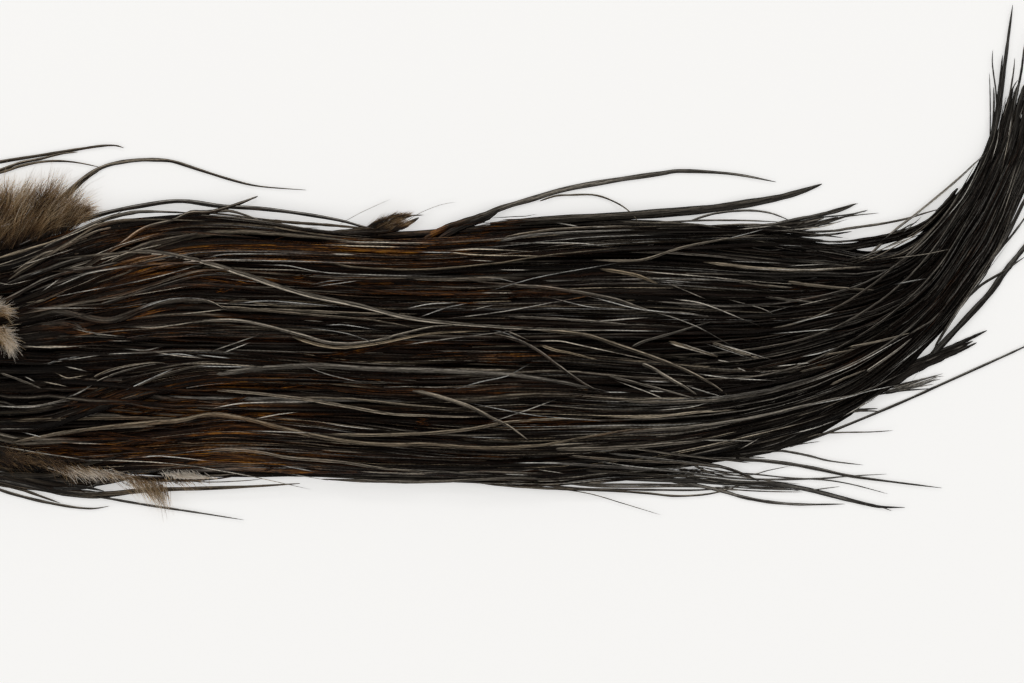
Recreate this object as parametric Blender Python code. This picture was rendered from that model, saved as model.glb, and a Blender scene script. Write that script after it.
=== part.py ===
"""Rooster saddle hackle: a dried patch of skin whose long black feathers sweep out to one side.

The origin is the centre of the skin's flat underside. +X runs along the feathers, away from the
skin, +Y is the side that the tips turn to, and +Z is up, so the hackle lies on its back at Z = 0.
Lengths are in metres once they leave the lists, whose points are in millimetres.
"""
import math

import bpy

MM = 0.001

# Skin
SKIN_LENGTH = 0.084
SKIN_WIDTH = 0.056
SKIN_THICKNESS = 0.0014
SKIN_CORNER_POWER = 3.2
SKIN_WAVE = 0.025
SKIN_OUTLINE_POINTS = 40

# Fit between pieces that touch
GAP = 0.0003

# The spread of the feathers, as three guide lines from the front of the skin to the tips.
# Points with the same index lie on one line across the spread.
UPPER_GUIDE = (
    (-37.5, 19.5), (-4.5, 24.9), (31.5, 27.9), (67.5, 34.8), (106.5, 39.9), (153.0, 34.8), (201.0, 36.9),
    (246.0, 36.9), (282.0, 32.1), (310.5, 33.0), (328.5, 43.8), (338.1, 60.9), (341.4, 80.1), (345.5, 100.5),
)
MIDDLE_GUIDE = (
    (-39.0, 0.0), (-4.5, 0.0), (31.5, 0.0), (67.5, 0.0), (106.5, 0.0), (153.0, -1.5), (201.0, -3.0),
    (246.0, -2.1), (283.5, 2.4), (314.4, 15.3), (330.9, 33.0), (342.6, 53.1), (350.4, 74.7), (356.0, 97.5),
)
LOWER_GUIDE = (
    (-37.5, -19.5), (-4.5, -24.9), (31.5, -33.3), (67.5, -41.1), (106.5, -40.5), (153.0, -41.4),
    (201.0, -41.7), (247.5, -36.9), (285.6, -27.6), (313.2, -6.9), (333.6, 14.4), (347.4, 36.9),
    (358.2, 63.0), (364.5, 91.0),
)
STATIONS = 2 * len(UPPER_GUIDE) - 1

# Layers of locks, lowest first: how many, where their roots and tips lie, and how far in from the edges.
# Roots and tips are counted in stations, which are half a guide point apart.
LAYERS = (
    {"locks": 12, "root": 3, "tips": (26, 22, 25, 23, 26, 24, 25, 23, 26, 22, 25, 24), "inset": 0.0},
    {"locks": 11, "root": 2, "tips": (20, 23, 18, 22, 19, 23, 21, 18, 22, 20, 17), "inset": 0.03},
    {"locks": 9, "root": 1, "tips": (13, 16, 12, 15, 17, 12, 16, 14, 12), "inset": 0.06},
    {"locks": 6, "root": 0, "tips": (6, 8, 5, 7, 6, 7), "inset": 0.05},
)
LOCK_THICKNESS = 0.0023
TIP_THICKNESS = 0.0005
THIN_FROM_STATION = 14
THIN_END_SHARE = 0.34
ROOT_SHARES = (0.35, 0.7)
SLOPE_STATION = 6
LANE_WANDER = 0.16
LANE_CLEARANCE = 0.0002
TIP_WIDTH_SHARES = (0.3, 0.62, 0.88)
ROOT_WIDTH_SHARES = (0.6, 0.85)

# Loose feathers that leave the spread and lie on the surface beside it: points, widths and height.
STRAYS = {
    "stray_left_outer": (((-3.0, 30.3), (1.5, 39.0), (13.5, 47.4), (30.0, 52.5), (42.0, 54.9),
                          (63.0, 57.9), (74.1, 59.7), (79.2, 59.1)), (1.2, 1.4, 1.2, 0.6), 0.9),
    "stray_left_inner": (((-0.6, 29.7), (4.2, 38.1), (15.6, 45.3), (28.5, 49.5), (42.0, 52.4),
                          (49.5, 54.3), (59.4, 55.2), (65.7, 54.9), (72.3, 53.4)), (1.2, 1.5, 1.2, 0.6), 0.9),
    "stray_left_arch": (((60.6, 39.3), (63.0, 43.5), (66.9, 49.2), (73.2, 53.4), (81.0, 55.2), (86.7, 55.8),
                         (94.2, 55.2), (104.1, 51.6), (111.6, 49.2), (120.0, 47.7), (135.0, 46.4)),
                        (1.4, 1.4, 0.9, 0.6), 0.9),
    "stray_top_strand": (((49.5, 30.9), (72.0, 39.0), (87.0, 42.2), (99.0, 43.0), (114.0, 42.2),
                          (132.0, 39.3), (147.0, 37.1), (153.6, 35.9)), (0.9, 1.5, 1.5, 0.7), 0.9),
    "stray_top_wave": (((174.0, 37.2), (183.0, 38.7), (192.9, 41.4), (196.8, 43.2), (211.8, 46.8),
                        (226.8, 49.5), (240.0, 51.5), (246.9, 52.3), (261.9, 51.3), (277.2, 48.6)),
                       (1.5, 1.6, 1.5, 1.0), 0.9),
    "stray_top_blade": (((210.0, 39.2), (228.0, 39.9), (249.0, 40.9), (264.0, 42.6), (279.0, 45.8),
                         (289.2, 48.6)), (1.2, 2.7, 2.7, 0.9), 0.9),
    "stray_top_tip": (((262.5, 36.6), (279.3, 37.6), (289.2, 39.5), (298.5, 42.3)), (0.9, 1.5, 1.3, 0.6), 0.9),
    "stray_right_strand": (((327.0, 0.6), (332.4, 7.5), (340.8, 19.2), (349.2, 26.6), (357.6, 35.7),
                            (365.4, 46.5)), (0.9, 1.3, 1.2, 0.6), 0.9),
    "stray_right_blade": (((307.5, -15.9), (316.5, -9.5), (324.6, -4.0), (334.8, 1.4)),
                          (1.2, 2.6, 2.6, 1.0), 0.9),
    "stray_right_straight": (((286.8, -28.9), (293.1, -25.2), (321.0, -12.9), (349.2, -0.9), (357.6, 2.7)),
                             (0.8, 0.9, 0.8, 0.6), 0.8),
    "stray_low_long": (((261.0, -36.0), (271.2, -35.7), (282.0, -36.9), (293.7, -38.8), (324.6, -42.9)),
                       (0.8, 1.0, 0.9, 0.6), 0.8),
    "stray_low_forked": (((217.5, -42.8), (237.0, -42.4), (255.0, -41.7), (271.2, -42.0), (286.2, -43.8),
                          (300.9, -47.6), (313.5, -48.7)), (0.9, 1.8, 1.6, 0.6), 0.9),
    "stray_low_curl": (((241.5, -44.7), (252.0, -44.1), (259.2, -44.4), (271.8, -46.8), (281.7, -47.9),
                        (295.2, -47.7)), (0.8, 1.1, 1.0, 0.6), 0.8),
    "stray_left_low": (((19.5, -33.4), (30.0, -38.8), (42.0, -43.7), (51.9, -46.8), (61.8, -48.6),
                        (74.7, -48.3)), (1.0, 1.2, 1.2, 0.6), 0.9),
    "stray_left_lowest": (((77.4, -47.0), (84.0, -48.1), (91.8, -49.3), (106.8, -51.2), (115.2, -52.5)),
                          (0.8, 0.9, 0.8, 0.6), 0.8),
    "stray_low_edge": (((39.0, -39.9), (48.0, -42.4), (60.0, -44.4), (72.0, -45.3), (87.0, -44.8),
                        (102.0, -43.8), (117.0, -42.7), (129.0, -42.5)), (0.9, 1.5, 1.3, 0.6), 0.9),
}
STRAY_STEP = 0.0105

# Down at the sides of the skin: points, widths, height and the height that it starts at.
DOWN_TUFTS = {
    "down_tuft_flank": (((6.6, 32.1), (21.0, 36.9), (36.0, 39.9), (48.0, 41.7), (57.0, 44.1), (61.8, 46.8)),
                        (4.0, 14.0, 19.0, 18.0, 8.5, 2.5), 6.0, 0.0),
    "down_tuft_end": (((67.8, 40.8), (70.2, 44.1), (72.0, 47.4)), (3.0, 4.4, 1.6), 3.5, 0.0),
    "down_tuft_plume": (((79.2, -43.0), (83.4, -46.2), (87.6, -49.8), (90.6, -52.2)), (2.0, 4.2, 3.6, 1.2),
                        1.4, 1.25),
}
TUFT_STEP = 0.008

# A lock's section is a lens: share of the width and share of the height, once round from the left edge.
LENS = ((0.0, 0.5), (0.3, 0.0), (0.7, 0.0), (1.0, 0.5), (0.7, 1.0), (0.3, 1.0))


def make_material(name, colour, roughness):
    """A Principled material in one colour, given as linear red, green and blue."""
    material = bpy.data.materials.new(name)
    material.use_nodes = True
    shader = material.node_tree.nodes["Principled BSDF"]
    shader.inputs["Base Color"].default_value = (*colour, 1.0)
    shader.inputs["Roughness"].default_value = roughness
    shader.inputs["Metallic"].default_value = 0.0
    return material


def on_spline(points, t):
    """The point at t on a Catmull-Rom curve through the points, which are at t = 0, 1, 2 and so on."""
    last = len(points) - 1
    index = min(int(math.floor(t)), last - 1)
    s = t - index
    before = points[max(index - 1, 0)]
    start = points[index]
    end = points[index + 1]
    after = points[min(index + 2, last)]
    return tuple(
        0.5 * (2 * b + (c - a) * s + (2 * a - 5 * b + 4 * c - d) * s ** 2 + (3 * b - a - 3 * c + d) * s ** 3)
        for a, b, c, d in zip(before, start, end, after)
    )


def on_spread(station, across):
    """The place in metres at a station along the spread and a share of its width, 0 at the upper guide."""
    t = station / 2
    upper = on_spline(UPPER_GUIDE, t)
    middle = on_spline(MIDDLE_GUIDE, t)
    lower = on_spline(LOWER_GUIDE, t)
    weights = (2 * across ** 2 - 3 * across + 1, 4 * across - 4 * across ** 2, 2 * across ** 2 - across)
    return tuple(
        MM * (weights[0] * a + weights[1] * b + weights[2] * c) for a, b, c in zip(upper, middle, lower)
    )


def spread_width(station):
    """The width of the spread in metres at a station."""
    return math.dist(on_spread(station, 0.0), on_spread(station, 1.0))


def full_thickness(station):
    """A lock's thickness in metres at a station: even at first, and thinner along the tips."""
    share = max(0.0, station - THIN_FROM_STATION) / (STATIONS - 1 - THIN_FROM_STATION)
    return LOCK_THICKNESS * (1.0 - (1.0 - THIN_END_SHARE) * share)


def layer_thickness(layer, station):
    """The thickness of a layer in metres at a station: nothing before its roots, then rising to full."""
    past_root = station - layer["root"]
    if past_root < 0:
        return 0.0
    rise = ROOT_SHARES[past_root] if past_root < len(ROOT_SHARES) else 1.0
    return full_thickness(station) * rise


def layer_floor(level, station):
    """The height that a layer lies at: on the skin, then on the surface, on top of the layers below it."""
    height = SKIN_THICKNESS + GAP if station < SLOPE_STATION else 0.0
    for layer in LAYERS[:level]:
        thickness = layer_thickness(layer, station)
        if thickness > 0.0:
            height += thickness + GAP
    return height


def lane_edge(layer, edge, station):
    """The share across the spread at which two neighbouring locks meet, which wanders a little."""
    count = layer["locks"]
    share = edge / count
    if 0 < edge < count:
        share += LANE_WANDER / count * math.sin(2.1 * edge + 0.55 * station)
    return layer["inset"] + (1.0 - 2.0 * layer["inset"]) * share


def taper(from_end, shares):
    """The share of the full width that is left at a ring counted from an end."""
    return shares[from_end] if from_end < len(shares) else 1.0


def loft(name, rings, material, collection):
    """One closed solid through rings of points of equal number, with a flat cap at each end.

    The sections change in width and in thickness apart from each other, so neither a swept curve nor
    a turned profile gives them.
    """
    size = len(rings[0])
    vertices = [point for ring in rings for point in ring]
    faces = []
    for row in range(len(rings) - 1):
        for side in range(size):
            after = (side + 1) % size
            faces.append((row * size + side, row * size + after, (row + 1) * size + after,
                          (row + 1) * size + side))
    faces.append(tuple(reversed(range(size))))
    faces.append(tuple(range((len(rings) - 1) * size, len(rings) * size)))
    mesh = bpy.data.meshes.new(name)
    mesh.from_pydata(vertices, [], faces)
    mesh.validate()
    mesh.shade_smooth()
    mesh.set_sharp_from_angle(angle=math.radians(50))
    mesh.materials.append(material)
    piece = bpy.data.objects.new(name, mesh)
    collection.objects.link(piece)
    return piece


def lens_ring(left, right, bottom, height):
    """A lens section between two plan points, from a height upwards."""
    return [
        (left[0] + (right[0] - left[0]) * share, left[1] + (right[1] - left[1]) * share, bottom + height * rise)
        for share, rise in LENS
    ]


def make_lock(level, number, material, collection):
    """One lock of feathers: a tapered lens that follows its lane of the spread from root to tip."""
    layer = LAYERS[level]
    tip = layer["tips"][number]
    root = layer["root"] + number % 2
    rings = []
    for station in range(root, tip + 1):
        clearance = LANE_CLEARANCE / spread_width(station)
        low = lane_edge(layer, number, station) + clearance
        high = lane_edge(layer, number + 1, station) - clearance
        width = taper(tip - station, TIP_WIDTH_SHARES) * taper(station - root, ROOT_WIDTH_SHARES)
        middle = 0.5 * (low + high)
        half = 0.5 * (high - low) * width
        thickness = layer_thickness(layer, station)
        height = max(TIP_THICKNESS, thickness * taper(tip - station, TIP_WIDTH_SHARES))
        rings.append(lens_ring(on_spread(station, middle + half), on_spread(station, middle - half),
                               layer_floor(level, station), min(height, thickness)))
    return loft(f"hackle_lock_{level + 1}_{number + 1:02d}", rings, material, collection)


def make_blade(name, points, widths, height, bottom, step, material, collection):
    """A flat blade that lies along a smooth line through plan points, with its width changing evenly."""
    length = sum(math.dist(a, b) for a, b in zip(points, points[1:])) * MM
    count = max(3, round(length / step))
    rings = []
    for ring in range(count + 1):
        share = ring / count
        t = share * (len(points) - 1)
        x, y = on_spline(points, t)
        ahead = on_spline(points, min(t + 0.01, len(points) - 1))
        behind = on_spline(points, max(t - 0.01, 0.0))
        heading = math.atan2(ahead[1] - behind[1], ahead[0] - behind[0])
        width = on_spline([(value,) for value in widths], share * (len(widths) - 1))[0]
        side = (-0.5 * width * math.sin(heading), 0.5 * width * math.cos(heading))
        ends = taper(min(ring, count - ring), (0.65,))
        left = ((x + side[0]) * MM, (y + side[1]) * MM)
        right = ((x - side[0]) * MM, (y - side[1]) * MM)
        rings.append(lens_ring(right, left, bottom * MM, height * MM * ends))
    return loft(name, rings, material, collection)


def make_skin(material, collection):
    """The dried skin: a flat rounded outline, a little uneven, filled to its thickness."""
    outline = bpy.data.curves.new("skin", "CURVE")
    outline.dimensions = "2D"
    outline.fill_mode = "BOTH"
    outline.extrude = SKIN_THICKNESS / 2
    spline = outline.splines.new("POLY")
    spline.points.add(SKIN_OUTLINE_POINTS - 1)
    for index, point in enumerate(spline.points):
        turn = 2 * math.pi * index / SKIN_OUTLINE_POINTS
        reach = (abs(math.cos(turn)) ** SKIN_CORNER_POWER + abs(math.sin(turn)) ** SKIN_CORNER_POWER)
        reach = reach ** (-1 / SKIN_CORNER_POWER) * (1 - SKIN_WAVE * (1 + math.sin(5 * turn + 0.8)))
        point.co = (SKIN_LENGTH / 2 * reach * math.cos(turn), SKIN_WIDTH / 2 * reach * math.sin(turn), 0.0, 1.0)
    spline.use_cyclic_u = True
    outline.materials.append(material)
    skin = bpy.data.objects.new("skin", outline)
    skin.location.z = SKIN_THICKNESS / 2
    collection.objects.link(skin)
    return skin


def main():
    for old in list(bpy.data.objects):
        bpy.data.objects.remove(old, do_unlink=True)
    hackle = bpy.data.collections.new("rooster_saddle_hackle")
    bpy.context.scene.collection.children.link(hackle)

    hide = make_material("dried_skin", (0.48, 0.33, 0.17), 0.6)
    black = make_material("black_feather", (0.012, 0.010, 0.009), 0.35)
    brown = make_material("dark_brown_feather", (0.028, 0.016, 0.010), 0.4)
    down = make_material("grey_brown_down", (0.11, 0.075, 0.048), 0.9)

    make_skin(hide, hackle)
    for level, layer in enumerate(LAYERS):
        for number in range(layer["locks"]):
            make_lock(level, number, brown if (level + number) % 3 == 1 else black, hackle)
    for name, (points, widths, height) in STRAYS.items():
        make_blade(name, points, widths, height, 0.0, STRAY_STEP, black, hackle)
    for name, (points, widths, height, bottom) in DOWN_TUFTS.items():
        make_blade(name, points, widths, height, bottom, TUFT_STEP, down, hackle)


main()
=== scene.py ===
"""Looks of a rooster saddle hackle: single feathers, split barbs, down and dried skin, as an add-on.

Lengths are in metres, +X runs along the feathers and +Z is up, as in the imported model. A route
measured on the photograph is a list of pixels in its 1024 by 683 frame, which from_photo turns to
metres on the floor and seen_at to metres at the height that a piece lies at.
"""

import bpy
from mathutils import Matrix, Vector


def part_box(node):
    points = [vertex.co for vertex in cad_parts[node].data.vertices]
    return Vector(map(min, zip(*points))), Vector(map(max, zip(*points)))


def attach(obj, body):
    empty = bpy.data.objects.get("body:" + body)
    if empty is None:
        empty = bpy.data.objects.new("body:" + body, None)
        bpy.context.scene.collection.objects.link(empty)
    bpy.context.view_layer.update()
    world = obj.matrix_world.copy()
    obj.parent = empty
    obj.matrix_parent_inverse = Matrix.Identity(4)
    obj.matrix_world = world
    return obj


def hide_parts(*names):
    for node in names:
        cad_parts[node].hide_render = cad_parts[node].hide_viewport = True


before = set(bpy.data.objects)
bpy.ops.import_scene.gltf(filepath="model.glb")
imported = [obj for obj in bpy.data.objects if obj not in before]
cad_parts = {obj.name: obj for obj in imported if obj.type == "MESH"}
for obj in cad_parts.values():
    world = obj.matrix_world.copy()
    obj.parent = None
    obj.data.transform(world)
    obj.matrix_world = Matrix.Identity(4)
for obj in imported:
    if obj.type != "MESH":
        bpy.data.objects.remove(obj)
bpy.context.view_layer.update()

import math

import bpy
import numpy as np
from bpy.props import FloatProperty, FloatVectorProperty, IntProperty, PointerProperty
from bpy.types import Operator, Panel, PropertyGroup
from mathutils import Vector

bl_info = {
    "name": "Saddle hackle",
    "version": (1, 0, 0),
    "blender": (4, 5, 0),
    "location": "3D View > Sidebar > Hackle",
    "description": "Builds a rooster saddle hackle from single feathers, barbs, down and dried skin",
    "category": "Object",
}

MM = 0.001

# The photograph's frame
PHOTO_SIZE = (1024, 683)
MM_PER_PIXEL = 0.30
SKIN_CENTRE_PIXEL = (-140.0, 345.0)
LENS_MM = 100.0
SENSOR_MM = 36.0
CAMERA_HEIGHT = PHOTO_SIZE[0] * MM_PER_PIXEL * MM * LENS_MM / SENSOR_MM

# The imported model's skin, spread and layers, whose guide lines are in millimetres
SKIN_LOW, SKIN_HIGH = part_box("skin")
SKIN_TOP = SKIN_HIGH[2]
GAP = 0.3 * MM
UPPER_GUIDE = (
    (-37.5, 19.5), (-4.5, 24.9), (31.5, 27.9), (67.5, 34.8), (106.5, 39.9), (153, 34.8), (201, 36.9),
    (246, 36.9), (282, 32.1), (310.5, 33), (328.5, 43.8), (338.1, 60.9), (341.4, 80.1),
    (345.5, 100.5),
)
MIDDLE_GUIDE = (
    (-39, 0), (-4.5, 0), (31.5, 0), (67.5, 0), (106.5, 0), (153, -1.5), (201, -3),
    (246, -2.1), (283.5, 2.4), (314.4, 15.3), (330.9, 33), (342.6, 53.1), (350.4, 74.7), (356, 97.5),
)
LOWER_GUIDE = (
    (-37.5, -19.5), (-4.5, -24.9), (31.5, -33.3), (67.5, -41.1), (106.5, -40.5), (153, -41.4),
    (201, -41.7), (247.5, -36.9), (285.6, -27.6), (313.2, -6.9), (333.6, 14.4), (347.4, 36.9),
    (358.2, 63), (364.5, 91),
)
LAST_STATION = 2.0 * (len(UPPER_GUIDE) - 1)
LAYER_ROOTS = (3, 2, 1, 0)
LAYER_ENDS = (26, 22, 15.5, 7)
LOCK_THICKNESS = 2.3 * MM
THIN_FROM_STATION = 14
THIN_END_SHARE = 0.34

# Quill and vane of every feather. Between quill and edge a vane folds at FOLD_ACROSS of its width, where
# it hangs FOLD_DROP of its whole drop below the quill.
QUILL_HALF = 0.15 * MM
VANE_THICKNESS = 0.09 * MM
FOLD_ACROSS = 0.55
FOLD_DROP = 0.46

# The eight points of a feather's ring: the vane that each is on, the painted light on banded vanes and on
# even ones, and the painted glint of the quill
VANE_SIDES = np.array((1.0, 1.0, 0.3, 0.0, -0.3, -1.0, -1.0, 0.0))
VANE_LIGHT = np.array((0.15, 1.25, 0.5, 0.12, 0.5, 1.25, 0.15, 0.4))
FLAT_LIGHT = np.array((0.6, 0.95, 0.9, 0.75, 0.9, 0.95, 0.6, 0.5))
QUILL_LIGHT = np.array((0.0, 0.0, 0.3, 1.0, 0.3, 0.0, 0.0, 0.0))

# The four points of a strand's ring, as shares of its width
STRAND_ACROSS = np.array((0.5, 0.0, -0.5, 0.0))
STRAND_LIFT = np.array((0.0, 0.3, 0.0, -0.3))

# The least height of edges, strands and the feathers of the pile above the floor
VANE_CLEAR = 0.12 * MM
STRAND_CLEAR = 0.1 * MM
PILE_CLEAR = 0.3 * MM


def srgb(code):
    """A hex colour such as #8a7c66 as linear red, green and blue."""
    parts = [int(code[index:index + 2], 16) / 255 for index in (1, 3, 5)]
    return tuple(part / 12.92 if part <= 0.04045 else ((part + 0.055) / 1.055) ** 2.4 for part in parts)


def from_photo(pixels):
    """Plan points in metres of photograph pixels, for things that lie on the floor."""
    return (np.asarray(pixels, float) - SKIN_CENTRE_PIXEL) * (MM_PER_PIXEL * MM, -MM_PER_PIXEL * MM)


def to_photo(plan):
    """Photograph pixels of plan points in metres that lie on the floor."""
    return np.asarray(plan) / (MM_PER_PIXEL * MM, -MM_PER_PIXEL * MM) + SKIN_CENTRE_PIXEL


# The point under the camera, which the centre of the photograph's frame shows
CAMERA_CENTRE = from_photo(np.array(PHOTO_SIZE) / 2)


def seen_at(pixels, height):
    """Plan points in metres that the camera sees at pixels, each at its own height.

    The camera looks straight down, so a pixel's ray meets a higher level nearer to the frame's centre,
    by the share of the camera's height that the level takes.
    """
    return CAMERA_CENTRE + (from_photo(pixels) - CAMERA_CENTRE) * (1 - height / CAMERA_HEIGHT)[..., None]


def at_height(plan, height):
    """Plan points and their heights as points in space."""
    return np.concatenate((plan, height[..., None]), axis=-1)


def read_off(curve, x):
    """Values at x on the straight lines through a curve's (x, value) points, level outside them."""
    return np.interp(x, *zip(*curve))


def shares(rows, rings):
    """How far along its row each ring lies, from 0 at the root to 1 at the tip."""
    return np.broadcast_to(np.linspace(0, 1, rings), (rows, rings))


def on_spline(points, t):
    """Points at t on a Catmull-Rom curve through points that are at t = 0, 1, 2 and so on."""
    points = np.asarray(points, float)
    last = len(points) - 1
    index = np.clip(np.floor(t).astype(int), 0, last - 1)
    s = (t - index)[..., None]
    a, b, c, d = (points[np.clip(index + shift, 0, last)] for shift in (-1, 0, 1, 2))
    return 0.5 * (2 * b + (c - a) * s + (2 * a - 5 * b + 4 * c - d) * s ** 2
                  + (3 * b - a - 3 * c + d) * s ** 3)


def on_routes(routes, t):
    """Points at shares t along pixel routes, carried straight on before 0 and after 1."""
    inside = np.clip(t, 0, 1)
    pixels = np.stack([on_spline(route, at * (len(route) - 1)) for route, at in zip(routes, inside)])
    before, after = (
        np.array([np.subtract(route[a], route[b]) * (len(route) - 1) for route in routes])[:, None]
        for a, b in ((1, 0), (-1, -2)))
    past = (t - inside)[..., None]
    return pixels + np.minimum(past, 0) * before + np.maximum(past, 0) * after


def on_spread(station, across):
    """Plan points in metres at stations along the spread and shares of its width, 0 at the upper guide.

    The three guides are joined by the parabola through their points.
    """
    t = station / 2
    k = across[..., None]
    return MM * ((2 * k ** 2 - 3 * k + 1) * on_spline(UPPER_GUIDE, t)
                 + (4 * k - 4 * k ** 2) * on_spline(MIDDLE_GUIDE, t)
                 + (2 * k ** 2 - k) * on_spline(LOWER_GUIDE, t))


def layer_thickness(level, station):
    """A layer's thickness in metres at stations: it rises behind its roots and thins to the tips."""
    share = np.clip(station - THIN_FROM_STATION, 0, None) / (LAST_STATION - THIN_FROM_STATION)
    rise = np.interp(station - LAYER_ROOTS[level], (-0.5, 0, 1, 2), (0, 0.35, 0.7, 1))
    return LOCK_THICKNESS * (1 - (1 - THIN_END_SHARE) * share) * rise


def layer_floor(level, station):
    """The height of a layer's underside: on the skin, then on the floor, on top of the layers below."""
    height = np.interp(station, (5, 6), (SKIN_TOP + GAP, 0.0))
    for lower in range(level):
        fade = np.interp(station, (LAYER_ENDS[lower] - 1, LAYER_ENDS[lower] + 1), (1, 0.15))
        height = height + (layer_thickness(lower, station) + GAP) * fade
    return height


def crown(across):
    """The share of a layer's height across the spread: full in the middle and low at both edges."""
    return 0.25 + 0.75 * (1 - np.abs(2 * np.clip(across, 0, 1) - 1) ** 3.5)


def pile_samples():
    """Points over the spread and the height of the pile's top there, to look heights up from."""
    station, across = np.meshgrid(np.linspace(0, LAST_STATION, 131), np.linspace(0, 1, 33), indexing="ij")
    top = np.zeros_like(station)
    for level, end in enumerate(LAYER_ENDS):
        reach = np.interp(station, (end - 2, end + 1.5), (1, 0))
        over = layer_floor(level, station) + layer_thickness(level, station)
        top = np.maximum(top, over * reach)
    return on_spread(station, across).reshape(-1, 2), (top * crown(across)).reshape(-1)


# Samples of the pile's top, how far beside the pile its height fades to nothing, and how many places are
# looked up at once
PILE_POINTS, PILE_TOPS = pile_samples()
PILE_REACH = 4 * MM
PLACES_AT_ONCE = 2000


def pile_top(plan):
    """The height of the pile's top at plan points, from the nearest sample, and 0 away from the pile."""
    flat = plan.reshape(-1, 2)
    tops = np.empty(len(flat))
    for start in range(0, len(flat), PLACES_AT_ONCE):
        part = flat[start:start + PLACES_AT_ONCE]
        gaps = ((part[:, None] - PILE_POINTS[None]) ** 2).sum(axis=2)
        nearest = gaps.argmin(axis=1)
        fade = np.clip(1.6 - np.sqrt(gaps[np.arange(len(part)), nearest]) / PILE_REACH, 0, 1)
        tops[start:start + PLACES_AT_ONCE] = PILE_TOPS[nearest] * fade
    return tops.reshape(plan.shape[:-1])


def smooth_along(values, passes):
    """Values averaged with their neighbours along the last axis, as often as passes says."""
    for _ in range(passes):
        padded = np.concatenate((values[..., :1], values, values[..., -1:]), axis=-1)
        values = (padded[..., :-2] + 2 * padded[..., 1:-1] + padded[..., 2:]) / 4
    return values


def waves(rng, share, size, turns):
    """A wandering value along each row: two sine waves of random phase, with turns waves per length."""
    phase = rng.uniform(0, 2 * math.pi, (len(share), 2, 1))
    pace = turns * rng.uniform(0.7, 1.3, (len(share), 2, 1)) * np.array((1.0, 2.3))[:, None]
    both = np.sin(2 * math.pi * pace * share[:, None] + phase)
    return size * (both[:, 0] + 0.45 * both[:, 1])


def patches(rng, share, turns):
    """Shares from 0 to 1 that come and go along each row, for light that lies on parts of a feather."""
    return np.clip(0.45 + waves(rng, share, 0.75, turns), 0, 1)


def rolls(rng, share, spread, wander):
    """Turns of feathers about their own lines, in radians: one to each, and a slow change along it."""
    return rng.normal(0, spread, (len(share), 1)) + waves(rng, share, wander, 1.5)


def for_some(rng, rows, chance, low, high, others=0.0):
    """One value to a row: between low and high by the chance that is given, and others for the rest."""
    return np.where(rng.uniform(size=(rows, 1)) < chance, rng.uniform(low, high, (rows, 1)), others)


def fill_mesh(name, material, points, faces, colours, uv=None):
    """A mesh object from whole arrays: points, groups of faces of one size, colours and UV a point."""
    mesh = bpy.data.meshes.new(name)
    mesh.vertices.add(len(points))
    mesh.vertices.foreach_set("co", points.astype(np.float32).ravel())
    corners = np.concatenate([group.ravel() for group in faces]).astype(np.int32)
    sizes = np.concatenate([np.full(len(group), group.shape[1]) for group in faces])
    mesh.loops.add(len(corners))
    mesh.loops.foreach_set("vertex_index", corners)
    mesh.polygons.add(len(sizes))
    mesh.polygons.foreach_set("loop_start", np.concatenate(((0,), np.cumsum(sizes)[:-1])).astype(np.int32))
    mesh.polygons.foreach_set("loop_total", sizes.astype(np.int32))
    mesh.polygons.foreach_set("use_smooth", np.ones(len(sizes), bool))
    if uv is not None:
        layer = mesh.uv_layers.new(name="vane")
        layer.data.foreach_set("uv", uv[corners].astype(np.float32).ravel())
    attribute = mesh.color_attributes.new("plumage", "FLOAT_COLOR", "POINT")
    attribute.data.foreach_set("color", colours.astype(np.float32).ravel())
    mesh.update(calc_edges=True)
    mesh.validate()
    mesh.materials.append(material)
    piece = bpy.data.objects.new(name, mesh)
    bpy.context.scene.collection.objects.link(piece)
    return piece


def tube_faces(rows, rings, size):
    """Faces of rows of tubes, each with rings of size points: the quads between rings and both caps."""
    ring = np.arange(rings - 1)[:, None] * size
    side = np.arange(size)[None]
    after = (side + 1) % size
    one = np.stack((ring + side, ring + after, ring + size + after, ring + size + side), axis=-1)
    start = np.arange(rows)[:, None, None] * rings * size
    quads = (start + one.reshape(-1, 4)).reshape(-1, 4)
    first = start[:, 0] + np.arange(size)[::-1][None]
    last = start[:, 0] + (rings - 1) * size + np.arange(size)[None]
    return quads, first, last


def blade_axes(path, roll):
    """Unit side and up vectors along paths, level at first and then turned about the path by roll."""
    ahead = np.gradient(path, axis=1)
    ahead /= np.linalg.norm(ahead, axis=2, keepdims=True)
    side = np.stack((-ahead[..., 1], ahead[..., 0], np.zeros_like(roll)), axis=-1)
    side /= np.linalg.norm(side, axis=2, keepdims=True)
    up = np.cross(ahead, side)
    cosine, sine = np.cos(roll)[..., None], np.sin(roll)[..., None]
    return side * cosine + up * sine, up * cosine - side * sine


def lengths_along(path):
    """The distance from the root to each point of the paths."""
    steps = np.linalg.norm(np.diff(path, axis=1), axis=2)
    return np.concatenate((np.zeros((len(path), 1)), np.cumsum(steps, axis=1)), axis=1)


def section_points(half, arch, quill):
    """Across and lift in metres of a ring's eight points: edge, fold, quill, fold, edge and underside.

    A vane hangs from the quill by arch * half * (across / half) ** 1.3.
    """
    quill_half = np.minimum(QUILL_HALF, 0.3 * half)
    fold = FOLD_ACROSS * half
    flat = np.zeros_like(half)
    drop = -arch * half
    across = np.stack((half, fold, quill_half, flat, -quill_half, -fold, -half, flat), axis=-1)
    lift = np.stack((drop, FOLD_DROP * drop, flat, quill * half / half.max(axis=1, keepdims=True), flat,
                     FOLD_DROP * drop, drop, flat - VANE_THICKNESS), axis=-1)
    return across, lift


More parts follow.
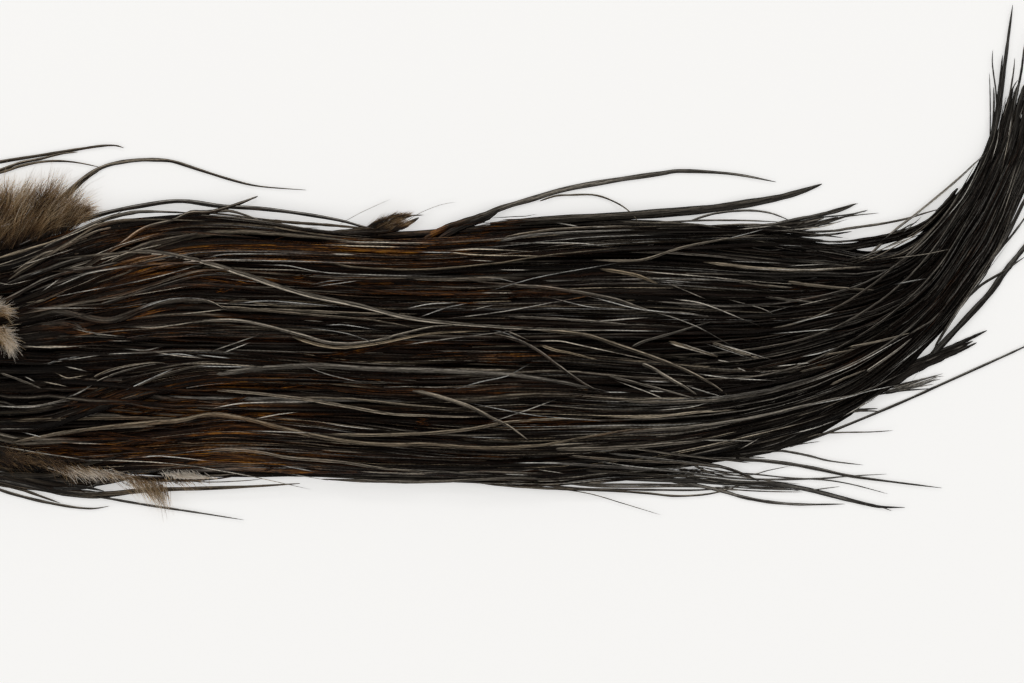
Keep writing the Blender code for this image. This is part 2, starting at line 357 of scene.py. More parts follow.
def tube_piece(name, material, group, path, across, lift, light, pale):
    """One mesh of many closed tubes: a ring's points are path + side * across + up * lift.

    The UV is across and along each tube in millimetres, and the colour holds its tone, its paleness, its
    painted light and shade, and its warmth.
    """
    side, up = blade_axes(path, group["roll"])
    points = path[:, :, None] + side[:, :, None] * across[..., None] + up[:, :, None] * lift[..., None]
    along = np.broadcast_to(lengths_along(path)[..., None] + group["start"][:, None, None], lift.shape)
    uv = np.stack((across, along), axis=-1).reshape(-1, 2) / MM
    tone, warm = (np.broadcast_to(group[key][..., None], lift.shape) for key in ("tone", "warm"))
    colours = np.stack((tone, np.clip(pale, 0, 1), light, warm), axis=-1).reshape(-1, 4)
    return fill_mesh(name, material, points.reshape(-1, 3), tube_faces(*lift.shape), colours, uv)


def feather_piece(name, feathers, material):
    """One mesh of many feathers, each a closed flat tube with two hanging vanes and a raised quill.

    The path is raised where an edge would reach below the floor.
    """
    roll = feathers["roll"]
    half = feathers["width"] / 2
    arch = feathers["arch"][:, None]
    path = feathers["path"].copy()
    clear = half * (np.abs(np.sin(roll)) + arch * np.cos(roll)) + VANE_CLEAR
    path[..., 2] = np.maximum(path[..., 2], clear)
    across, lift = section_points(half, arch, feathers["quill"][:, None])
    soft = feathers["soft"][..., None]
    # Painted light across the ring: pale bands with a shaded groove or an even vane, one vane lit more than
    # the other by lean, and a painted glint on the quill
    light = (VANE_LIGHT + (FLAT_LIGHT - VANE_LIGHT) * soft) * (1 + feathers["lean"][..., None] * VANE_SIDES)
    pale = feathers["pale"][..., None] * light + feathers["glint"][..., None] * QUILL_LIGHT
    shade = feathers["shade"][..., None] * (0.45 + 0.55 * light)
    return tube_piece(name, material, feathers, path, across, lift, shade, pale)


def strand_piece(name, strands, material):
    """One mesh of many thin strands, each a closed tube of four points a ring: edge, top, edge, bottom."""
    width = strands["width"][..., None]
    across, lift = width * STRAND_ACROSS, width * STRAND_LIFT
    path = strands["path"].copy()
    path[..., 2] = np.maximum(path[..., 2], strands["width"] / 2 + STRAND_CLEAR)
    # Painted light: one edge of each strand lighter than the other by lean
    light = strands["shade"][..., None] * (1 + strands["lean"][..., None] * 2 * STRAND_ACROSS)
    pale = strands["pale"][..., None] * light
    return tube_piece(name, material, strands, path, across, lift, light, pale)


def join_feathers(groups):
    """Groups of feathers with the same number of rings as one group."""
    return {key: np.concatenate([group[key] for group in groups]) for key in groups[0]}


# Where brown shows among the black, as pixel centre, pixel reach and strength
BROWN_PATCHES = (
    (165, 268, 48, 16, 1), (130, 235, 38, 14, 0.7), (120, 322, 75, 22, 0.5), (115, 395, 42, 10, 0.45),
    (200, 406, 90, 14, 1.1), (80, 448, 75, 10, 1.5), (240, 382, 52, 8, 0.8), (285, 425, 42, 10, 0.7),
    (230, 430, 30, 6, 0.6), (260, 250, 90, 14, 0.6), (400, 250, 90, 14, 0.8), (440, 292, 90, 10, 0.6),
    (380, 350, 60, 8, 0.7), (330, 270, 120, 15, 0.5), (505, 357, 30, 4, 1), (545, 295, 45, 8, 0.9),
    (420, 385, 80, 10, 0.5), (560, 422, 60, 8, 0.7), (470, 452, 30, 6, 0.7), (270, 462, 70, 12, 0.8),
    (640, 275, 50, 10, 0.4), (800, 300, 60, 12, 0.35), (840, 360, 60, 10, 0.45), (450, 235, 60, 8, 0.9),
    (650, 432, 60, 8, 0.4), (60, 235, 60, 14, 0.4), (180, 446, 80, 12, 1.35), (245, 455, 60, 10, 1),
    (110, 300, 60, 10, 0.5),
)
BROWN_BASE = ((0, 0.22), (120, 0.30), (500, 0.28), (680, 0.14), (1024, 0.07))


def brown_share(plan):
    """How brown the plumage is at plan points: a base that falls towards the tips, and patches."""
    pixels = to_photo(plan)
    share = read_off(BROWN_BASE, pixels[..., 0])
    for x, y, reach_x, reach_y, strength in BROWN_PATCHES:
        away = ((pixels[..., 0] - x) / reach_x) ** 2 + ((pixels[..., 1] - y) / reach_y) ** 2
        share = share + 0.7 * strength * np.exp(-away)
    return share


# Undersides turn from tan to grey towards the tips, and the thin tips are painted paler for light that
# comes
# through them: metres along X
TAN_SHARES = ((0.20, 1.0), (0.26, 0.75), (0.33, 0.45))
TIP_LIGHT = ((0.332, 0.0), (0.342, 0.02))

# Share of the feathers whose quill has a painted glint
GLINTING = 0.35


def dress(rng, path, width, roll, pale, warm=0.5, tone=None, lean=None, painted_light=1.0, soft=0.3):
    """Adds what feathers need besides their shape: arch, quill, and the four parts of their colour.

    tone runs from black to orange brown, pale to the grey or tan of an underside, to painted highlights and
    to painted light through the thin tips, warm from grey to tan, and lean says how much lighter one vane
    is than the other, a painted lit side. A soft feather has an even vane, any other a painted highlight
    band on each vane and a painted shaded groove between them. painted_light is painted shade below 1, down
    in the pile, and painted shine above 1; the quill's painted glint follows it.
    """
    rows, rings = width.shape
    share = shares(rows, rings)
    if tone is None:
        liking = 0.2 + 1.1 * rng.uniform(0, 1, (rows, 1)) ** 1.4
        flicker = 0.85 + waves(rng, share, 0.3, 3.0)
        tone = brown_share(path[..., :2]) * liking * np.clip(flicker, 0, 1.3)
    if lean is None:
        lean = rng.uniform(-0.85, 0.85, (rows, 1)) + waves(rng, share, 0.25, 1.2)
    # A painted glint on the quills of some feathers, dimmed with the painted shade
    shiny = for_some(rng, rows, GLINTING, 0.5, 1.3, others=0.12)
    glint = shiny * patches(rng, share, 1.6) * painted_light
    full = np.ones((rows, rings))
    pale = pale + read_off(TIP_LIGHT, path[..., 0])
    tan = read_off(TAN_SHARES, path[..., 0])
    return {
        "path": path, "width": width, "roll": roll, "glint": glint,
        "lean": np.clip(lean * full, -0.92, 0.92),
        "arch": rng.uniform(0.2, 0.55, rows),
        "quill": rng.uniform(0.06, 0.14, rows) * MM,
        "start": rng.uniform(0, 40, rows) * MM,
        "soft": np.clip(soft * full + rng.normal(0, 0.25, (rows, 1)), 0, 1),
        "tone": np.clip(tone * full, 0, 1),
        "pale": np.clip(pale * full, 0, 1),
        "warm": np.clip(warm * full + rng.normal(0, 0.15, (rows, 1)), 0, 1) * tan,
        "shade": full * rng.uniform(0.65, 1.35, (rows, 1)) * painted_light,
    }


def blade_widths(rng, share, widths, tip=0.08, root=0.5, swell=0.1):
    """Widths in metres from root to tip: a narrow root, an even vane with small changes, a pointed tip.

    Every vane gets its own full width, between two in millimetres, and has it from the share of its
    length that swell says.
    """
    profile = np.interp(share, (0, swell, 0.55, 0.8, 0.93, 1), (root, 1, 0.95, 0.68, 0.4, tip))
    full = rng.uniform(widths[0] * MM, widths[1] * MM, (len(share), 1))
    uneven = 1 + waves(rng, share, 0.07, 6.0)
    return full * profile * uneven


def strand_widths(rng, share, widths):
    """Widths in metres of strands, which are thin at the root and full from a third of the way."""
    return blade_widths(rng, share, widths, root=0.1, swell=0.3)


# Where the bed keeps clear of the guides, as stations and shares of the spread's width
UPPER_ROOM = ((5, 0), (6.5, 0.022), (8, 0.042), (9.5, 0.032), (11, 0.012), (13, 0), (15.6, 0.01),
              (16.4, 0.02), (17.1, 0.09), (17.9, 0.13), (18.6, 0.11), (19.3, 0.05), (20, 0.01), (22, 0.01))
LOWER_ROOM = ((5, 0), (5.6, 0.04), (6.4, 0.045), (7.2, 0.028), (8, 0.018), (13, 0.013), (15, 0), (19, 0.02),
              (20.6, 0.03), (21.6, 0.08), (23, 0.1), (24, 0.06))

# Share across the spread and the station that the longest feathers end at there
LONGEST_ENDS = ((0, 22.5), (0.15, 22.7), (0.22, 23.4), (0.3, 24.0), (0.5, 24.3), (0.65, 24.9), (1, 25.6))


def in_room(station, across, margin):
    """Shares across the spread that keep clear of the guides by the room there and a margin."""
    low = read_off(UPPER_ROOM, station) + margin
    high = 1 - read_off(LOWER_ROOM, station) - margin
    return low + np.clip(across, 0.002, 0.998) * (high - low)


# How the bed is coloured: the share of feathers that show a pale underside, the paleness along the
# spread's edges up to the station RIM_END, and the shares of painted light at the edges and on the top
# layer
TURNED_OVER = 0.12
RIM_PALE = 0.28
RIM_END = 16
EDGE_PAINTED_LIGHT = 0.85
TOP_LAYER_PAINTED_LIGHT = 0.7


def bed_feathers(rng, level, rows, rings, roots, tips, widths, inset):
    """Feathers of one layer of the spread, which follow its flow and wander across it a little.

    Each runs from a station between roots to one between tips, or in the lowest layer to where the
    longest feathers end. It grows up from the skin and lies at its own depth in the layer.
    """
    on_top = level == len(LAYER_ENDS) - 1
    share = shares(rows, rings)
    lane = (rng.permutation(rows)[:, None] + rng.uniform(0, 1, (rows, 1))) / rows
    lane = inset + (1 - 2 * inset) * lane
    root = rng.uniform(*roots, (rows, 1))
    tip = rng.uniform(*tips, (rows, 1))
    if level == 0:
        tip = read_off(LONGEST_ENDS, lane) - rng.exponential(1.0, (rows, 1))
    station = root + (np.maximum(tip, root + 3) - root) * share
    wander = waves(rng, share, 0.008 if level > 1 else 0.014, 1.6)
    across = lane + wander + rng.normal(0, 0.02, (rows, 1)) * (share - 0.3)
    across = in_room(station, across, inset * 0.7 + 0.004)
    depth = np.clip(rng.uniform(0.05, 1.0, (rows, 1)) + waves(rng, share, 0.035, 1.5), 0.02, 1.1)
    height = (layer_floor(level, station) + depth * layer_thickness(level, station)) * crown(across)
    settle = np.interp(share, (0, 0.12, 0.9, 1), (0.0, 1, 1, 0.75))
    height = np.where(share < 0.5, SKIN_TOP * (1 - settle), 0.0) + np.maximum(height, PILE_CLEAR) * settle
    path = at_height(on_spread(station, across), smooth_along(height, 2))
    roll = rolls(rng, share, 0.28, 0.12)
    pale = for_some(rng, rows, TURNED_OVER, 0.3, 0.7) * patches(rng, share, 1.2)
    from_edge = np.minimum(across, 1 - across)
    rim = RIM_PALE * np.clip(1 - from_edge / 0.06, 0, 1) * (station < RIM_END)
    # Painted shade down in the pile, less of it along the spread's edges and more on the top layer, then
    # painted light on the thin tips
    painted_light = np.interp(path[..., 2] / np.maximum(pile_top(path[..., :2]), 1 * MM), (0.35, 0.9), (0.25, 1.0))
    painted_light = np.maximum(painted_light, EDGE_PAINTED_LIGHT * np.clip(1 - from_edge / 0.1, 0, 1))
    painted_light = painted_light * (TOP_LAYER_PAINTED_LIGHT if on_top else 1.0)
    pale = (pale + rim) * painted_light + 0.06 * np.interp(station, (21.0, 23.5), (0, 1))
    width = blade_widths(rng, share, widths)
    return dress(rng, path, width, roll, pale, painted_light=painted_light, soft=1.0 if on_top else 0.3)


COVER_LENGTHS_MM = (10, 24)
COVER_WIDTHS = (1.2, 2.6)


def cover_feathers(rng, rows, rings):
    """Short feathers rooted on the skin's rear half, which lean over the layers' roots like shingles.

    Roots fill half an ellipse inside the skin. The feathers fan out by their root's place across the
    skin and turn back along +X on their way.
    """
    middle, reach = (np.add(SKIN_LOW, SKIN_HIGH) / 2)[:2], (np.subtract(SKIN_HIGH, SKIN_LOW) / 2)[:2]
    turn = rng.uniform(0.45 * math.pi, 1.55 * math.pi, (rows, 1))
    away = rng.uniform(0.15, 0.9, (rows, 1)) ** 0.5
    root = middle + reach * np.concatenate((np.cos(turn), np.sin(turn)), axis=1) * away
    share = shares(rows, rings)
    fan = 0.45 * away * np.sin(turn) + rng.normal(0, 0.12, (rows, 1))
    heading = fan * (1 - 0.7 * share) + waves(rng, share, 0.06, 1.0)
    stride = rng.uniform(*COVER_LENGTHS_MM, (rows, 1)) * MM / (rings - 1)
    ahead = np.cumsum(np.stack((np.cos(heading), np.sin(heading)), axis=-1), axis=1)
    plan = root[:, None] + ahead * stride[..., None]
    over = smooth_along(np.maximum(pile_top(plan), SKIN_TOP), 1)
    lift = 0.2 + rng.uniform(0.3, 1.4, (rows, 1)) * np.sin(0.8 * math.pi * share)
    width = blade_widths(rng, share, COVER_WIDTHS, root=0.12, swell=0.3)
    pale = np.where(rng.uniform(size=(rows, 1)) < TURNED_OVER, 0.4, 0.03)
    roll = rng.normal(0, 0.2, (rows, rings))
    return dress(rng, at_height(plan, over + lift * MM), width, roll, pale, soft=0.6)


# Streams of feathers on top of the spread: two border lines in pixels, how many, widths in millimetres,
# share of pale undersides, and how high above the layers they lie in millimetres
STREAMS = (
    (((-100, 262), (0, 252), (50, 238), (100, 223), (150, 218), (200, 215), (260, 221), (320, 230),
      (400, 236)),
     ((-100, 305), (0, 292), (50, 272), (100, 252), (150, 240), (200, 233), (260, 233), (320, 240),
      (400, 246)),
     30, (1.1, 2.2), 0.25, 0.5),
    (((-110, 312), (0, 302), (60, 282), (110, 260), (160, 247), (220, 240), (300, 242), (400, 248),
      (500, 246)),
     ((-110, 340), (0, 328), (60, 306), (110, 286), (160, 270), (220, 263), (300, 264), (400, 266),
      (500, 262)),
     32, (1.1, 2.4), 0.14, 0.9),
    (((-90, 326), (0, 318), (60, 301), (120, 285), (190, 272), (260, 276), (340, 284), (430, 292)),
     ((-90, 352), (0, 348), (60, 345), (120, 340), (190, 336), (260, 336), (340, 338), (430, 336)),
     28, (1.2, 2.6), 0.14, 0.8),
    (((-80, 352), (0, 352), (60, 355), (130, 352), (200, 350), (280, 356), (360, 362), (450, 366)),
     ((-80, 392), (0, 390), (60, 386), (130, 378), (200, 366), (280, 368), (360, 376), (450, 380)),
     18, (1.2, 2.6), 0.14, 0.8),
    (((-60, 405), (0, 406), (50, 402), (90, 388), (130, 374), (170, 365), (220, 360), (300, 362),
      (400, 366)),
     ((-60, 436), (0, 434), (50, 428), (90, 416), (130, 402), (170, 392), (220, 384), (300, 384),
      (400, 388)),
     22, (1.1, 2.4), 0.12, 1),
    (((-60, 440), (20, 438), (90, 432), (160, 424), (230, 416), (300, 420), (370, 428), (450, 436),
      (540, 440)),
     ((-60, 470), (20, 472), (90, 474), (160, 472), (230, 470), (300, 472), (370, 476), (450, 478),
      (540, 482)),
     26, (1.1, 2.4), 0.26, 0.5),
    (((230, 234), (320, 240), (420, 238), (500, 234), (570, 228), (640, 225), (710, 225), (780, 227),
      (850, 236)),
     ((230, 262), (320, 268), (420, 268), (500, 262), (570, 254), (640, 250), (710, 248), (780, 246),
      (850, 250)),
     20, (1.1, 2.2), 0.18, 0.5),
    (((280, 268), (370, 274), (460, 276), (550, 274), (640, 272), (730, 276), (820, 280), (900, 262),
      (950, 226)),
     ((280, 320), (370, 330), (460, 330), (550, 328), (640, 330), (730, 334), (820, 330), (900, 302),
      (955, 250)),
     30, (1.2, 2.5), 0.14, 0.6),
    (((270, 340), (360, 350), (450, 346), (540, 344), (630, 352), (720, 362), (800, 362), (880, 330),
      (940, 280)),
     ((270, 400), (360, 410), (450, 416), (540, 414), (630, 416), (720, 410), (800, 394), (880, 352),
      (945, 300)),
     34, (1.2, 2.5), 0.24, 0.6),
    (((330, 410), (420, 420), (510, 424), (600, 424), (680, 424), (760, 410), (840, 385), (900, 345),
      (950, 295)),
     ((330, 468), (420, 474), (510, 476), (600, 470), (680, 458), (760, 440), (840, 416), (905, 371),
      (953, 314)),
     30, (1.1, 2.3), 0.36, 0.5),
    (((430, 472), (490, 473), (550, 472), (610, 466), (670, 462), (710, 460)),
     ((430, 483), (490, 485), (550, 486), (610, 481), (670, 478), (710, 472)),
     14, (0.8, 1.6), 0.25, 0.1),
    (((740, 236), (800, 240), (841, 241), (863, 239), (884, 235.5), (897, 232), (912, 228), (927, 220),
      (939, 208.5), (950, 198), (962, 184)),
     ((740, 247), (800, 250), (841, 251), (863, 247.5), (884, 243), (900, 239), (916, 233), (930, 225),
      (942, 213), (954, 202), (967, 188)),
     18, (0.6, 1.2), 0.1, 0.2),
)
# The pile is lightest before the bend and darkest past it: pixels along the photograph, share of paleness
SWEEP_SHADE = ((560, 1.0), (660, 1.15), (780, 0.75), (880, 0.22), (960, 0.3), (1010, 0.8))
# The same down the photograph: darkest along the middle and palest towards the lower edge
ACROSS_SHADE = ((290, 1.0), (345, 0.7), (385, 0.8), (400, 1.0), (430, 1.4))

# Paleness of the wide soft vanes near the skin
SKIN_END_PALE = 0.017


def photo_shade(pixels):
    """The share of its paleness that a feather keeps at a place of the photograph."""
    return read_off(SWEEP_SHADE, pixels[..., 0]) * read_off(ACROSS_SHADE, pixels[..., 1])


def dipped(share, dips):
    """The height in metres that is added along feathers whose ends dip by millimetres, root and tip."""
    return np.interp(share, (0, 0.14, 0.9, 1), (dips[0], 0, 0, dips[1])) * MM


def lay_down(pixels, rise, dips, lowest=PILE_CLEAR):
    """Paths of pixel routes laid on the pile, raised by rise, with dipped ends and nowhere below lowest."""
    under = pile_top(from_photo(pixels))
    ends = dipped(shares(*pixels.shape[:2]), dips)
    height = np.maximum(smooth_along(under + rise + ends, 3), lowest)
    return at_height(seen_at(pixels, height), height)


# How far strands part from the middle of their clump, as a share of the stream's width
CLUMP_SPREAD = 0.035


def stream_pixels(rng, borders, share, lengths, wander, clumps=0):
    """Routes in pixels between two border lines, at random starts, lengths and places.

    With clumps above 0 the routes gather at that many places across the stream.
    """
    upper, lower = borders
    rows = len(share)
    length = rng.uniform(*lengths, (rows, 1))
    start = rng.uniform(0, 1, (rows, 1)) * (1 - length)
    t = (start + length * share) * (len(upper) - 1)
    place = rng.uniform(0.02, 0.98, (rows, 1))
    if clumps:
        middles = rng.uniform(0.04, 0.96, clumps)
        place = middles[rng.integers(0, clumps, rows)][:, None] + rng.normal(0, CLUMP_SPREAD, (rows, 1))
    across = place + waves(rng, share, wander, 1.3)
    across = np.clip(across + rng.normal(0, wander, (rows, 1)) * (share - 0.5), 0, 1)[..., None]
    return on_spline(upper, t) * (1 - across) + on_spline(lower, t) * across


def come_and_go(rings):
    """Light along a strand that rises from nothing near its root and fades again towards its tip."""
    return np.sin(math.pi * np.linspace(0.02, 0.98, rings)) ** 1.3


def near_skin(pixels):
    """How much a place has of the wide soft vanes that grow near the skin: 1 at the left, 0 further on."""
    return np.interp(pixels[..., 0], (50, 230), (1, 0))


def stream_feathers(rng, stream, rings):
    """Feathers of one stream, wide and soft near the skin, some turned to show a pale underside."""
    *borders, rows, widths, pale_share, rise = stream
    share = shares(rows, rings)
    pixels = stream_pixels(rng, borders, share, (0.55, 0.95), 0.03)
    soft = near_skin(pixels)
    path = lay_down(pixels, (rng.uniform(-0.9, 0.5, (rows, 1)) + rise) * MM, (-1.4, -0.5))
    width = blade_widths(rng, share, widths, root=0.1, swell=0.25) * (1 + 0.8 * soft)
    roll = rolls(rng, share, 0.25, 0.15)
    pale = for_some(rng, rows, pale_share, 0.3, 0.75) * photo_shade(pixels)
    pale = np.maximum(pale * patches(rng, share, 1.0) * (1 - 0.8 * soft), SKIN_END_PALE * soft)
    # The soft vanes near the skin get less painted light
    return dress(rng, path, width, roll, pale, painted_light=1 - 0.4 * soft, soft=0.25 + 0.75 * soft)


# Strands to a feather of their stream, their clumps across it, and widths of all kinds of strands in
# millimetres
STRAND_SHARE = 2.8
CLUMPS_A_STREAM = 9
STRAND_WIDTHS = (0.13, 0.36)
SWEEP_WIDTHS = (0.13, 0.34)
FIELD_WIDTHS = (0.18, 0.36)
LINE_WIDTHS = (0.2, 0.38)


def stream_strands(rng, stream, rings):
    """Thin strands on a stream: quills and folded vanes with painted light on them, and split barbs."""
    *borders, feathers, _, _, rise = stream
    rows = round(feathers * STRAND_SHARE)
    share = shares(rows, rings)
    pixels = stream_pixels(rng, borders, share, (0.3, 0.85), 0.022, CLUMPS_A_STREAM)
    path = lay_down(pixels, (rng.uniform(-0.2, 0.8, (rows, 1)) + rise) * MM, (-1.2, -0.6))
    width = strand_widths(rng, share, STRAND_WIDTHS)
    pale = rng.uniform(0, 1, (rows, 1)) ** 1.8 * come_and_go(rings) * patches(rng, share, 1.0)
    pale = pale * (1 - 0.88 * near_skin(pixels)) * photo_shade(pixels)
    roll = rng.normal(0, 0.3, (rows, rings))
    return dress(rng, path, width, roll, pale, warm=rng.uniform(0.0, 0.9, (rows, 1)))


# Stations that the fine dark strands of the sweep start between, and the last that they reach
SWEEP_STARTS = (13.0, 21.0)
SWEEP_END = 23.6


def sweep_strands(rng, rows, rings):
    """Fine dark strands on the pile, along the spread's own flow, where it bends and sweeps to the tips."""
    share = shares(rows, rings)
    start = rng.uniform(*SWEEP_STARTS, (rows, 1))
    end = np.minimum(start + rng.uniform(2.0, 5.5, (rows, 1)), SWEEP_END)
    station = start + (end - start) * share
    place = rng.uniform(0, 1, (rows, 1)) + waves(rng, share, 0.012, 1.2)
    plan = on_spread(station, in_room(station, place, 0.01))
    rise = rng.uniform(-0.2, 0.5, (rows, 1)) * MM + dipped(share, (-1.2, -0.6))
    path = at_height(plan, np.maximum(pile_top(plan) + rise, PILE_CLEAR))
    width = strand_widths(rng, share, SWEEP_WIDTHS)
    pale = 0.34 * rng.uniform(0, 1, (rows, 1)) ** 2.6 * come_and_go(rings)
    roll = rng.normal(0, 0.3, (rows, rings))
    warm = rng.uniform(0.0, 0.6, (rows, 1))
    return dress(rng, path, width, roll, pale, warm, tone=rng.uniform(0.0, 0.3, (rows, 1)))
